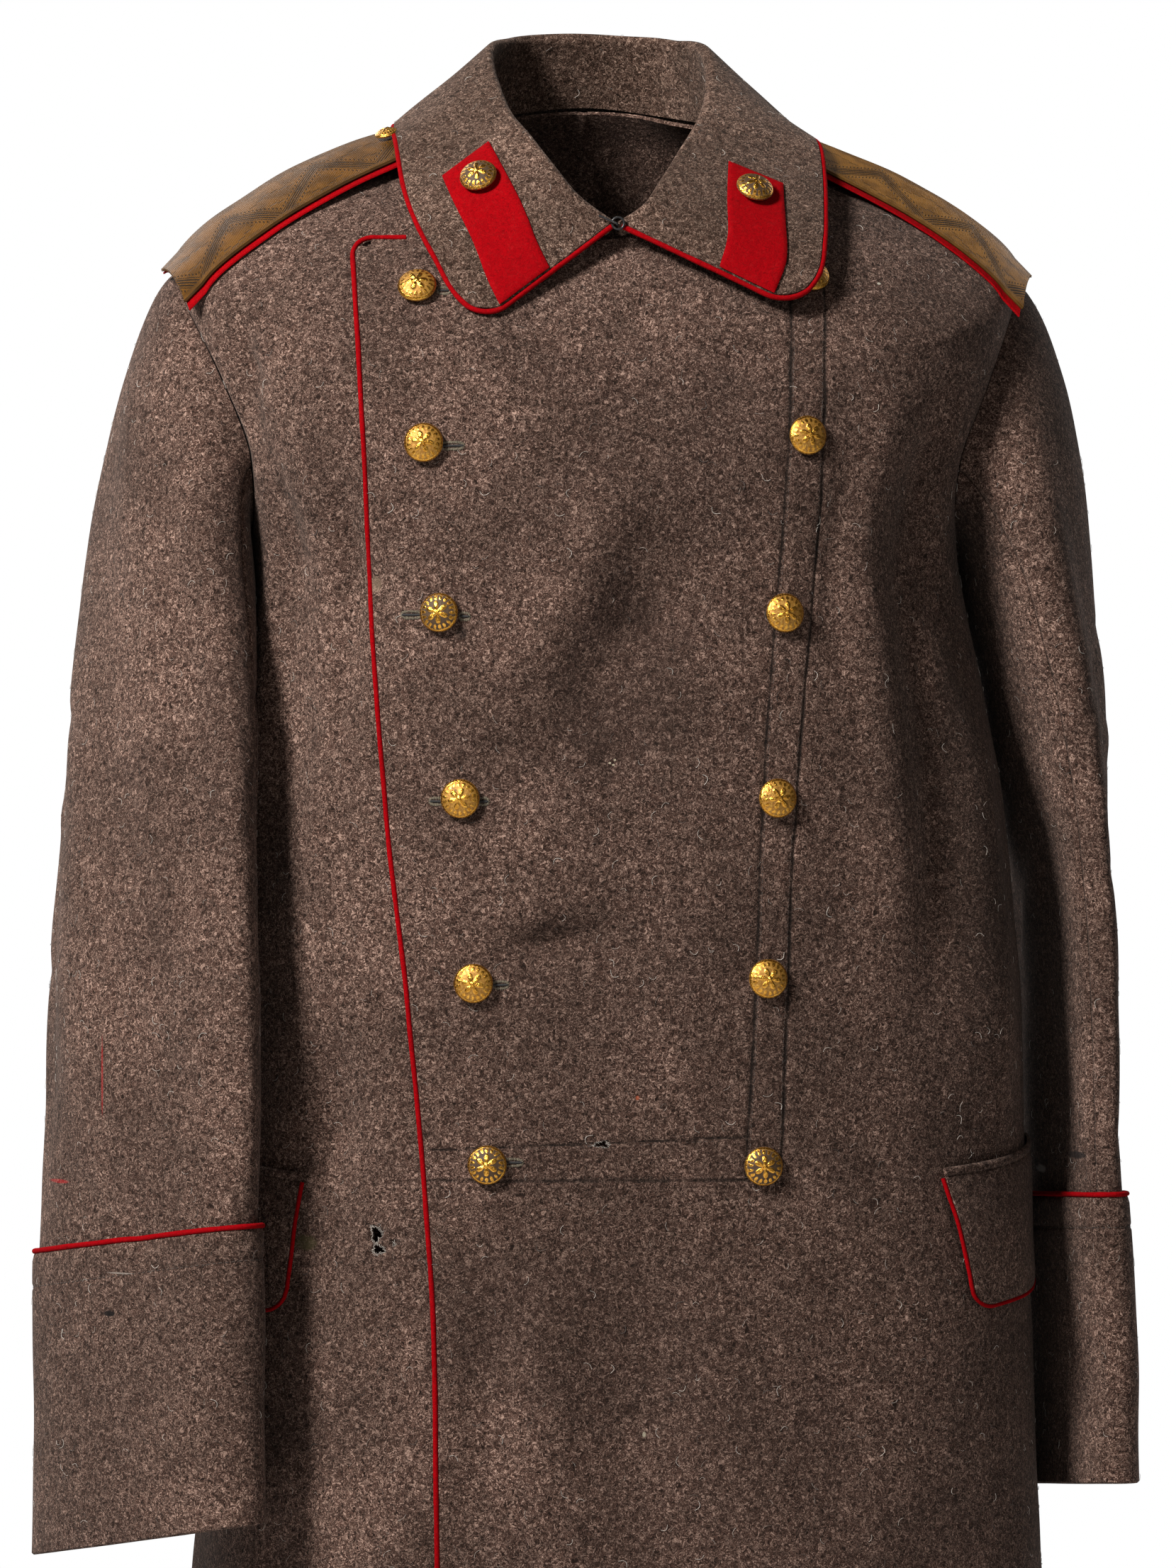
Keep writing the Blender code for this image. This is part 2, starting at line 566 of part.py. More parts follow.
def seam_nudge(rows, angles, sign):
    """Moves an edge's angles back by half a seam gap."""
    width = np.linalg.norm(body_base(rows, angles + 1e-3) - body_base(rows, angles), axis=-1) / 1e-3
    return angles - sign * 0.5 * SEAM_GAP / width


def add_fronts(wool):
    rows = body_rows(*PANEL_ROWS)
    piped, underlap = edge_angles(rows)
    right_side = seam_nudge(rows, -side_angle(rows, True), -1)

    under = panel_columns((right_side, piped, underlap), (SIDE_COLUMNS, OVERLAP_COLUMNS))
    grid = np.broadcast_to(rows[:, None], under.shape)
    outer, _ = body_place(grid, under, 0.0)
    inner, _ = body_place(grid, under, -CLOTH)
    front_right = wall("front_right", outer, inner, wool)

    over_rows, over, lift = over_front_grid(rows, (OVERLAP_COLUMNS, FRONT_COLUMNS))
    outer, _ = body_place(over_rows, over, lift)
    inner, _ = body_place(over_rows, over, lift - CLOTH)
    front_left = wall("front_left", outer, inner, wool)
    return {"front_right": front_right, "front_left": front_left}, (over_rows, over, lift)


def over_front_grid(rows, counts):
    """Rows, angles and lift of the over-front. Its top edge leaves the neckline on the overlap's side."""
    low = np.zeros(sum(counts) + 1)
    high = np.full(low.shape, TOP_REACH)
    for _ in range(30):
        top = (low + high) / 2
        angles = over_angles_at(top, counts)
        above = (body_base(top, angles)[:, 2] > OVERLAP_TOP_Z) & (angles < 0)
        low, high = np.where(above, top, low), np.where(above, high, top)
    upper = rows[rows < TOP_REACH]
    grid = np.concatenate([
        top + (TOP_REACH - top) * upper[:, None] / TOP_REACH,
        np.broadcast_to(rows[rows >= TOP_REACH, None], (np.sum(rows >= TOP_REACH), len(top))),
    ])
    angles = np.stack([over_angles_at(row, counts) for row in grid])
    return grid, angles, over_lift(grid, angles)


def over_angles_at(rows, counts):
    """The angle of each of the over-front's columns, at its own row."""
    piped, underlap = edge_angles(rows)
    side = seam_nudge(rows, side_angle(rows, True), 1)
    past = 1 + np.linspace(0, 1, counts[1] + 1)[1:]
    places = np.concatenate([np.linspace(0, 1, counts[0] + 1), past])
    first = piped + (underlap - piped) * np.minimum(places, 1)
    return first + (side - underlap) * np.maximum(places - 1, 0)


def over_lift(rows, angles):
    """How far the over-front's outer side is from the body: over the underlap, then easing down to the side."""
    _, underlap = edge_angles(rows)
    side = side_angle(rows, True)
    past = (angles - underlap) / (side - underlap)
    return (CLOTH + LAYER_GAP) * (1 - ease((past - LIFT_START) / LIFT_LENGTH))


def add_backs(wool):
    rows = body_rows(*PANEL_ROWS)
    for name, sign in (("back_left", 1), ("back_right", -1)):
        edge = sign * side_angle(rows, False)
        start = seam_nudge(rows, edge, -sign)
        end = seam_nudge(rows, np.full(rows.shape, sign * math.pi), sign)
        angles = panel_columns((start, end), (BACK_COLUMNS,))
        grid = np.broadcast_to(rows[:, None], angles.shape)
        outer, _ = body_place(grid, angles, 0.0)
        inner, _ = body_place(grid, angles, -CLOTH)
        wall(name, outer, inner, wool)


def sleeve_ring(side, z, turn_round):
    """A sleeve's point at a level and at an angle round it: 0 is outside and 90 degrees the front."""
    levels = SLEEVES[side]
    at = {name: smooth(-levels["z"], levels[name], -z) for name in SLEEVE_COLUMNS[1:]}
    sine, cosine = np.sin(turn_round), np.cos(turn_round)
    reach = (np.abs(sine) ** SLEEVE_SQUARE + np.abs(cosine) ** SLEEVE_SQUARE) ** (-1 / SLEEVE_SQUARE)
    crest = np.zeros(np.shape(z))
    for i in range(len(SLEEVE_FOLD_ROWS)):
        fold = {name: values[i] for name, values in SLEEVE_FOLDS.items()}
        off = (np.degrees(turn_round) - fold["deg"] + 180) % 360 - 180
        along = (fold["top_z"] - z) / (fold["top_z"] - fold["bottom_z"])
        swell = ease(along / SLEEVE_FOLD_END) * ease((1 - along) / SLEEVE_FOLD_END)
        crest = crest + fold["depth"] * swell * np.exp(-((off / fold["width"]) ** 2))
    long_way = (at["long"] + crest) * reach * sine
    short_way = (at["short"] + crest) * reach * cosine
    turn = np.radians(at["turn"])
    out = at["out"] + short_way * np.cos(turn) - long_way * np.sin(turn)
    fore = at["fore"] + short_way * np.sin(turn) + long_way * np.cos(turn)
    rise = at["rise"] * long_way / at["long"]
    return np.stack([side * out, -fore, z + rise], axis=-1)


def armhole_point(side, turn_round):
    """The armhole's seam line: 0 is the shoulder's tip, 90 degrees the front and 180 the underarm."""
    row = TIP_ROW + (UNDERARM_ROW - TIP_ROW) * (1 - np.cos(turn_round)) / 2
    sine = np.sin(turn_round)
    degrees = 90 - np.where(sine > 0, ARMHOLE_FRONT, ARMHOLE_BACK) * sine
    angle = side * np.radians(degrees)
    lift = over_lift(row, np.abs(angle)) if side > 0 else 0.0
    lift = np.where(sine > 0, lift, 0.0)
    points, _ = body_place(row, angle, lift)
    return points


def sleeve_base(side):
    """A function of level and angle for one sleeve. Levels 0 to 1 are the sleeve head, 1 to 2 the rest."""
    levels = SLEEVES[side]["z"]

    def base(level, turn_round):
        head = np.clip(level, 0.0, 1.0)
        first = sleeve_ring(side, np.full(np.shape(turn_round), levels[0]), turn_round)
        lean = HEAD_LEAN * np.sin(turn_round)
        leave = unit(np.stack([side + 0.0 * lean, -lean, -HEAD_DROP + 0.0 * lean], axis=-1))
        start = armhole_point(side, turn_round) + leave * SLEEVE_HEAD_GAP
        span = np.linalg.norm(first - start, axis=-1)[..., None]
        arrive = sleeve_ring(side, np.full(np.shape(turn_round), levels[0] - 0.01), turn_round) - first
        arrive = unit(arrive)
        f = head[..., None]
        reach = HEAD_FULLNESS[0] + HEAD_FULLNESS[1] * np.cos(turn_round / 2)[..., None] ** 2
        point = (
            start * (1 + 2 * f) * (1 - f) ** 2
            + leave * span * reach * f * (1 - f) ** 2
            + first * f**2 * (3 - 2 * f)
            + arrive * span * f**2 * (f - 1)
        )
        z = levels[0] + (levels[-1] - levels[0]) * np.clip(level - 1, 0.0, 1.1)
        below = sleeve_ring(side, z, turn_round)
        return np.where((level > 1)[..., None], below, point)

    return base


def sleeve_level(side, z):
    levels = SLEEVES[side]["z"]
    return 1 + (z - levels[0]) / (levels[-1] - levels[0])


def sleeve_place(side, levels, turns, lift):
    levels, turns, lift = np.broadcast_arrays(*(np.asarray(v, float) for v in (levels, turns, lift)))
    points, normals = surface(sleeve_base(side), levels, turns, -side * lift)
    return points, -side * normals


def add_sleeves(wool, red):
    first_seam, second_seam = (math.radians(d) for d in SLEEVE_SEAMS)
    for word, side in (("left", 1), ("right", -1)):
        hem_z = SLEEVES[side]["z"][-1]
        end = sleeve_level(side, hem_z + CUFF_TURN)
        levels = np.concatenate([np.linspace(0, 1, 7)[:-1], np.linspace(1, end, 12)])
        for part, start, stop, count in (
            ("top", second_seam - 2 * math.pi, first_seam, 10),
            ("under", first_seam, second_seam, 6),
        ):
            turns = np.linspace(start, stop, count + 1)
            turns[0] += SLEEVE_SEAM_TURN
            turns[-1] -= SLEEVE_SEAM_TURN
            grid_levels, grid_turns = np.meshgrid(levels, turns, indexing="ij")
            outer, _ = sleeve_place(side, grid_levels, grid_turns, 0.0)
            inner, _ = sleeve_place(side, grid_levels, grid_turns, -CLOTH)
            wall(f"sleeve_{part}_{word}", outer, inner, wool)

        turns = np.linspace(0, 2 * math.pi, CUFF_COLUMNS + 1)[:-1]
        cuff_levels = np.linspace(sleeve_level(side, hem_z + CUFF_HEIGHT), sleeve_level(side, hem_z), 6)
        grid_levels, grid_turns = np.meshgrid(cuff_levels, turns, indexing="ij")
        inner, _ = sleeve_place(side, grid_levels, grid_turns, LAYER_GAP)
        outer, _ = sleeve_place(side, grid_levels, grid_turns, LAYER_GAP + CLOTH)
        wall(f"cuff_{word}", outer, inner, wool, ring=True)

        above = sleeve_level(side, hem_z + CUFF_HEIGHT + PIPING_RADIUS + SEAM_GAP)
        path, normals = sleeve_place(side, np.full(turns.shape, above), turns, LAYER_GAP + PIPING_RADIUS)
        tube(f"cuff_piping_{word}", path, normals, PIPING_RADIUS, red, ring=True)


def collar_lines():
    """The collar's seam, roll and free edge, a point for each row of its table, and the rows' places."""
    stations = table(COLLAR_COLUMNS, COLLAR_ROWS)
    roll = np.stack([stations[f"roll_{axis}"] for axis in "xyz"], axis=1)
    edge = np.stack([stations[f"edge_{axis}"] for axis in "xyz"], axis=1)
    degrees = stations["seam_deg"]
    past_overlap = (CLOTH + LAYER_GAP) * (1 - ease((-degrees - 8) / 20))
    on_front = np.where(degrees > 0, over_lift(0.0 * degrees, np.radians(degrees)), past_overlap)
    seam, _ = body_place(0.0, np.radians(degrees), on_front - COLLAR_CLOTH / 2)
    seam[:, 2] += SEAM_RISE
    places = np.concatenate([[0.0], np.cumsum(np.linalg.norm(np.diff(edge, axis=0), axis=1))])
    return (seam, roll, edge), places / places[-1]


COLLAR_LINES, COLLAR_PLACES = collar_lines()


def collar_line(points, along):
    """A smooth line through the collar's stations, at fractions of the way round it."""
    slopes = np.gradient(points, COLLAR_PLACES, axis=0)
    i = np.clip(np.searchsorted(COLLAR_PLACES, along, side="right") - 1, 0, len(COLLAR_PLACES) - 2)
    step = (COLLAR_PLACES[i + 1] - COLLAR_PLACES[i])[..., None]
    f = (along - COLLAR_PLACES[i])[..., None] / step
    return (
        points[i] * (1 + 2 * f) * (1 - f) ** 2
        + slopes[i] * step * f * (1 - f) ** 2
        + points[i + 1] * f**2 * (3 - 2 * f)
        + slopes[i + 1] * step * f**2 * (f - 1)
    )


def collar_base(along, across):
    """The collar's middle surface: a stand up to the roll, an arc over it and a fall down to the free edge."""
    seam, roll, edge = (collar_line(points, along) for points in COLLAR_LINES)
    across = across[..., None]
    up, fall = unit(roll - seam), unit(edge - roll)
    out = unit(fall - up * dot(fall, up))
    last_turn = math.pi - np.arccos(np.clip(-dot(up, fall), -1, 1))

    def arc(turn):
        return roll + ROLL_RADIUS * (up * (np.sin(turn) - 1) - out * np.cos(turn))

    over = np.clip((across - STAND_END) / (FALL_START - STAND_END), 0, 1)
    stand = seam + (arc(0.0 * last_turn) - seam) * across / STAND_END
    down = (across - FALL_START) / (1 - FALL_START)
    fallen = arc(last_turn) + (edge - arc(last_turn)) * down
    return np.where(across < STAND_END, stand, np.where(across > FALL_START, fallen, arc(last_turn * over)))


def collar_place(along, across, lift):
    """Points at a lift from the collar's middle surface, and the normals of its outer side."""
    along, across, lift = np.broadcast_arrays(*(np.asarray(v, float) for v in (along, across, lift)))
    return surface(collar_base, along, across, lift)


def rounded_tips(along, across):
    """Draws the places near the collar's two lower tips in, so that the tips are round."""
    from_end = np.minimum(along, 1 - along)
    a = np.clip(1 - from_end / TIP_ALONG, 0, 1)
    b = np.clip(1 - (1 - across) / TIP_ACROSS, 0, 1)
    drawn = TIP_ALONG * (1 - a * np.sqrt(1 - b**2 / 2))
    along = np.where(a > 0, np.where(along < 0.5, drawn, 1 - drawn), along)
    return along, np.where(b > 0, 1 - TIP_ACROSS * (1 - b * np.sqrt(1 - a**2 / 2)), across)


def add_collar(wool, red, gilt):
    near_tip = np.array([0.0, 0.35, 0.7]) * TIP_ALONG
    middle = np.linspace(TIP_ALONG, 1 - TIP_ALONG, COLLAR_ALONG_STEPS + 1)
    along = np.concatenate([near_tip, middle, 1 - near_tip[::-1]])
    stand = np.linspace(0, STAND_END, 3)
    roll = np.linspace(STAND_END, FALL_START, 4)[1:]
    fall = np.linspace(FALL_START, 1 - TIP_ACROSS, 4)[1:]
    tip = 1 - TIP_ACROSS * np.array([0.65, 0.3, 0.0])
    across = np.concatenate([stand, roll, fall, tip])
    grid = rounded_tips(*np.meshgrid(along, across, indexing="ij"))
    outer, _ = collar_place(*grid, COLLAR_CLOTH / 2)
    inner, _ = collar_place(*grid, -COLLAR_CLOTH / 2)
    wall("collar", outer, inner, wool)

    free = np.searchsorted(across, FALL_START)
    places = [(0, j) for j in range(free, len(across))]
    places += [(i, len(across) - 1) for i in range(1, len(along) - 1)]
    places += [(len(along) - 1, j) for j in reversed(range(free, len(across)))]
    edge_along, edge_across = (np.array([part[place] for place in places]) for part in grid)
    path, facing = collar_place(edge_along, edge_across, 0.0)
    outward = away_from(path, facing, path.mean(axis=0) + (0.0, 0.0, 0.2))
    tube("collar_piping", path + outward * (PIPING_RADIUS + SEAM_GAP), facing, PIPING_RADIUS, red)

    for word in TABS:
        add_tab(word, red, gilt)


def away_from(path, facing, inside):
    """Directions square to a path and to what it faces, pointing away from a point inside it."""
    outward = unit(np.cross(np.gradient(path, axis=0), facing))
    middle = len(path) // 2
    return -outward if outward[middle] @ (path[middle] - inside) < 0 else outward


def add_tab(word, red, gilt):
    """A red felt tab on the collar's fall, and its button."""
    front, rear = (np.array(end) for end in TABS[word])
    lift = COLLAR_CLOTH / 2 + TAB_GAP

    def place_on_tab(f, g, height):
        along, upper, lower = (front[k] + (rear[k] - front[k]) * f for k in range(3))
        along = 1 - along if word == "left" else along
        across = FALL_START + (1 - FALL_START) * (upper + (lower - upper) * g)
        return collar_place(along, across, height)

    f, g = np.meshgrid(np.linspace(0, 1, 8), np.linspace(0, 1, 3), indexing="ij")
    outer, _ = place_on_tab(f, g, lift + FELT)
    inner, _ = place_on_tab(f, g, lift)
    wall(f"collar_tab_{word}", outer, inner, red)
    point, normal = place_on_tab(TAB_BUTTON_PLACE, 0.5, 0.0)
    add_button(f"button_tab_{word}", point, normal, lift + FELT + BUTTON_GAP, TAB_BUTTON_RADIUS, gilt)


def add_button(name, point, normal, lift, radius, look, height_scale=1.0):
    """A domed button on a short shank, standing on the cloth."""
    shank, dome = SHANK_HEIGHT * height_scale, BUTTON_HEIGHT * height_scale
    profile = (
        (SHANK_RADIUS, 0.0),
        (SHANK_RADIUS, shank * 0.8),
        (radius, shank),
        (radius * 0.97, shank + dome * 0.25),
        (radius * 0.60, shank + dome * 0.82),
        (0.0, shank + dome),
    )
    points = []
    for distance, height in profile[:-1]:
        for j in range(BUTTON_SIDES):
            turn = 2 * math.pi * j / BUTTON_SIDES
            points.append((distance * math.cos(turn), distance * math.sin(turn), height))
    points.append((0.0, 0.0, profile[-1][1]))
    faces = [list(reversed(range(BUTTON_SIDES)))]
    rings = len(profile) - 1
    for i in range(rings - 1):
        for j in range(BUTTON_SIDES):
            k = (j + 1) % BUTTON_SIDES
            a, b = i * BUTTON_SIDES, (i + 1) * BUTTON_SIDES
            faces.append([a + j, a + k, b + k, b + j])
    last = (rings - 1) * BUTTON_SIDES
    faces += [[last + j, last + (j + 1) % BUTTON_SIDES, len(points) - 1] for j in range(BUTTON_SIDES)]
    button = new_piece(name, points, faces, look)
    place = Matrix.Translation(Vector(point + normal * lift))
    button.matrix_world = place @ Vector((0, 0, 1)).rotation_difference(Vector(normal)).to_matrix().to_4x4()
    return button


def add_front_buttons(gilt):
    for number, (right_x, right_z, left_x, left_z) in enumerate(BUTTON_ROWS, 1):
        for word, x, z in (("right", right_x, right_z), ("left", left_x, left_z)):
            row, angle = place_on_front(x, z)
            lift = float(over_lift(np.array([row]), np.array([angle]))[0])
            point, normal = body_place(row, angle, lift)
            add_button(f"button_{word}_{number}", point, normal, BUTTON_GAP, BUTTON_RADIUS, gilt)


def add_front_piping(over, red):
    rows, angles, lift = over
    places = [(0, j) for j in range(4, 0, -1)] + [(i, 0) for i in range(len(rows))]
    at_row, at_angle, at_lift = (np.array([part[place] for place in places]) for part in (rows, angles, lift))
    path, facing = body_place(at_row, at_angle, at_lift - CLOTH / 2 + FRONT_PIPING_RISE)
    outward = away_from(path, facing, path.mean(axis=0) + (0.1, 0.0, 0.0))
    tube("front_piping", path + outward * (PIPING_RADIUS + SEAM_GAP), facing, PIPING_RADIUS, red)


def board_grid(side, half_more):
    """Rows and angles under a shoulder board, from its inner end to the shoulder's tip."""
    rows = table(BOARD_COLUMNS, BOARD_ROWS)
    at = np.linspace(rows["out"][0], rows["out"][-1], BOARD_STEPS)
    fore, half = (smooth(rows["out"], rows[name], at) for name in BOARD_COLUMNS[1:])
    turn = math.radians(BOARD_TURN)
    across = np.array([-1.0, -0.5, 0.0, 0.5, 1.0]) * (half + half_more)[:, None]
    x = side * (at[:, None] - across * math.sin(turn))
    return place_on_shoulder(x, -fore[:, None] - across * math.cos(turn))


def board_place(side, rows, angles, lift):
    """Points of a board's grid at a lift from the coat, with the overhang past the shoulder's tip added."""
    on_front = np.abs(angles) < math.pi / 2
    coat = np.where(on_front, over_lift(rows, np.abs(angles)), 0.0) if side > 0 else 0.0
    points, normals = body_place(rows, angles, coat + lift)
    ahead = unit(points[-1] - points[-2])
    return np.concatenate([points, [points[-1] + ahead * BOARD_OVERHANG]]), normals


def add_boards(lace, red, gilt):
    """A lace board on a red felt one on each shoulder, with a small button at its inner end."""
    for word, side, out, back in BOARD_BUTTONS:
        low = BOARD_GAP
        for name, look, half_more, thick in (
            (f"board_felt_{word}", red, FELT_BORDER, BOARD_FELT),
            (f"board_{word}", lace, 0.0, BOARD_THICKNESS),
        ):
            grid = board_grid(side, half_more)
            outer, _ = board_place(side, *grid, low + thick)
            inner, _ = board_place(side, *grid, low)
            wall(name, outer, inner, look)
            low += thick + SEAM_GAP
        place = place_on_shoulder(np.array(side * out), np.array(back))
        point, normal = body_place(*place, low)
        add_button(f"button_board_{word}", point, normal, BUTTON_GAP, BOARD_BUTTON_RADIUS, gilt, 0.55)


def add_flaps(wool, red):
    """Pocket flaps with piping round their free edges, and a narrow welt over each."""
    place = np.array(FLAP_PLACES)
    for word, side, front_deg, rear_deg, slant, front_z, rear_z, depth, gap in FLAP_ROWS:
        top = front_z + (rear_z - front_z) * place
        to_end = np.minimum(place, 1 - place)
        rise = FLAP_CORNER_RISE * (1 - np.sqrt(1 - np.clip(1 - to_end / FLAP_CORNER, 0, 1) ** 2))
        down = np.linspace(0, 1, 5)[:, None]
        z = top - (depth - rise) * down
        degrees = front_deg + (rear_deg - front_deg) * place + slant * (1 - place) * down
        angles = np.radians(degrees) * side
        grid = row_at_z(angles, z)
        stand_off = FLAP_LIFT * ease(down * 2) * (1 - ease((place - FLAP_LIFT_END) / FLAP_LIFT_EASE))
        lift = gap + stand_off + (over_lift(grid, np.abs(angles)) if side > 0 else 0.0)
        inner, normals = body_place(grid, angles, lift)
        outer = inner + normals * CLOTH
        wall(f"flap_{word}", outer, inner, wool)
        last_row, last = len(down) - 1, len(place) - 1
        free = [(i, 0) for i in range(last_row)] + [(last_row, j) for j in range(last + 1)]
        free += [(i, last) for i in reversed(range(last_row))]
        path = np.array([(inner[at] + outer[at]) / 2 for at in free])
        facing = np.array([normals[at] for at in free])
        outward = away_from(path, facing, inner[0, last // 2])
        reach = FLAP_PIPING_RADIUS + SEAM_GAP
        tube(f"flap_piping_{word}", path + outward * reach, facing, FLAP_PIPING_RADIUS, red, sides=5)

        z = top + np.array([WELT_HEIGHT + WELT_GAP, WELT_GAP])[:, None]
        angles = np.broadcast_to(angles[0], z.shape)
        grid = row_at_z(angles, z)
        coat = over_lift(grid, np.abs(angles)) if side > 0 else 0.0
        inner, normals = body_place(grid, angles, gap + coat)
        wall(f"welt_{word}", inner + normals * CLOTH, inner, wool)


def cut_holes(fronts):
    for number, (piece, x, z, radius, stretch) in enumerate(HOLE_ROWS, 1):
        row, angle = place_on_front(x, z)
        point, normal = body_place(row, angle, 0.0)
        shape = bmesh.new()
        bmesh.ops.create_cone(shape, cap_ends=True, segments=8, radius1=radius, radius2=radius, depth=0.016)
        bmesh.ops.scale(shape, vec=(1.0, stretch, 1.0), verts=shape.verts)
        mesh = bpy.data.meshes.new(f"hole_{number}")
        shape.to_mesh(mesh)
        shape.free()
        cutter = bpy.data.objects.new(f"hole_{number}", mesh)
        bpy.context.scene.collection.objects.link(cutter)
        cutter.hide_render = True
        cutter.display_type = "WIRE"
        turn = Vector((0, 0, 1)).rotation_difference(Vector(normal)).to_matrix().to_4x4()
        cutter.matrix_world = Matrix.Translation(Vector(point)) @ turn
        cut = fronts[piece].modifiers.new(f"hole_{number}", "BOOLEAN")
        cut.operation = "DIFFERENCE"
        cut.object = cutter


def add_hook(black):
    """The eye is a ring on the left end of the collar, and the hook a bent wire from the right end."""
    centre = np.array(EYE_PLACE)
    turns = np.linspace(0, 2 * math.pi, 13)[:-1]
    ring = centre + EYE_RADIUS * np.stack([np.cos(turns), 0.0 * turns, np.sin(turns)], axis=1)
    facing = np.tile((0.0, -1.0, 0.0), (len(ring), 1))
    tube("neck_eye", ring, facing, WIRE_RADIUS, black, sides=5, ring=True)
    hook = centre + np.array(HOOK_POINTS)
    tube("neck_hook", hook, np.tile((0.0, -0.3, 1.0), (len(hook), 1)), WIRE_RADIUS, black, sides=5)


def clear_scene():
    for thing in list(bpy.data.objects):
        bpy.data.objects.remove(thing, do_unlink=True)


def main():
    clear_scene()
    looks = {name: new_look(name) for name in LOOKS}
    fronts, over = add_fronts(looks["wool"])
    cut_holes(fronts)
    add_backs(looks["wool"])
    add_sleeves(looks["wool"], looks["red_felt"])
    add_collar(looks["wool"], looks["red_felt"], looks["gilt"])
    add_front_piping(over, looks["red_felt"])
    add_front_buttons(looks["gilt"])
    add_boards(looks["lace"], looks["red_felt"], looks["gilt"])
    add_flaps(looks["wool"], looks["red_felt"])
    add_hook(looks["black_wire"])


main()
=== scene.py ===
import math

import bmesh
import bpy
import numpy as np
from mathutils import Matrix, Vector


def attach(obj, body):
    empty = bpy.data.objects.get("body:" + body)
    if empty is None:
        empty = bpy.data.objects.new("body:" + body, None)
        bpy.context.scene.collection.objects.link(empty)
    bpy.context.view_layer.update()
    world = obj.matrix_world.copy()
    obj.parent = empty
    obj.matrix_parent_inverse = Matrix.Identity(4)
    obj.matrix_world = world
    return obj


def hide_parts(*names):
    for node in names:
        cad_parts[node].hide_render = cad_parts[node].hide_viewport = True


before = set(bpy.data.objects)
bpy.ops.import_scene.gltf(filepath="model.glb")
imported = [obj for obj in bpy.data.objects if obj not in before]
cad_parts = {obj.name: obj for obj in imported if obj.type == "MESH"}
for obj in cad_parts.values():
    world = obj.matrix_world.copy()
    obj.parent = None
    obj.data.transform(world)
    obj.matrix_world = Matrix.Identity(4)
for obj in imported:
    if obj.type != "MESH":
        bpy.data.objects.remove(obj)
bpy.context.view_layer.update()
print("frame loaded:", len(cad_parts), "solids")


# a table's columns by their names
def table(columns, rows):
    return {name: np.array([row[i] for row in rows], float) for i, name in enumerate(columns)}


def unit(vectors):
    return vectors / np.linalg.norm(vectors, axis=-1, keepdims=True)


def dot(first, second):
    return np.sum(first * second, axis=-1, keepdims=True)


def ease(x):
    x = np.clip(x, 0.0, 1.0)
    return x * x * (3 - 2 * x)


def bell(x, width):
    return np.exp(-((x / width) ** 2))


# a cubic curve from start to end that leaves and arrives with the given slopes, f running from 0 to 1
def curveBetween(f, start, leave, end, arrive):
    rest = (1 - f) ** 2
    return start * (1 + 2 * f) * rest + leave * f * rest + end * f**2 * (3 - 2 * f) + arrive * f**2 * (f - 1)


# where a test that holds at low stops holding on the way to high
def halve(test, low, high):
    for _ in range(30):
        middle = (low + high) / 2
        holds = test(middle)
        low, high = np.where(holds, middle, low), np.where(holds, high, middle)
    return (low + high) / 2


# a cubic curve through values that doesn't overshoot them
def smooth(places, values, at):
    steps = np.diff(places)
    slopes = np.diff(values) / steps
    ends = np.zeros(len(values))
    sameWay = slopes[1:] * slopes[:-1] > 0
    both = np.where(sameWay, slopes[1:] + slopes[:-1], 1.0)
    ends[1:-1] = np.where(sameWay, 2 * slopes[1:] * slopes[:-1] / both, 0.0)
    ends[0], ends[-1] = slopes[0], slopes[-1]
    inside = np.clip(at, places[0], places[-1])
    i = np.clip(np.searchsorted(places, inside, side="right") - 1, 0, len(steps) - 1)
    f = (inside - places[i]) / steps[i]
    beyond = (at - inside) * np.where(at < inside, ends[0], ends[-1])
    return curveBetween(f, values[i], ends[i] * steps[i], values[i + 1], ends[i + 1] * steps[i]) + beyond


# the thickness of each cloth, the gaps between layers, the hem, and how far a seamed edge laps over its line
cloth = {"body": 0.0025, "collar": 0.003, "felt": 0.0012, "seamGap": 0.0003, "layerGap": 0.0013,
         "hemZ": -1.25, "seamLap": 0.0003}

# the body's cut: one row for each ring from the neckline over the shoulders to the hem

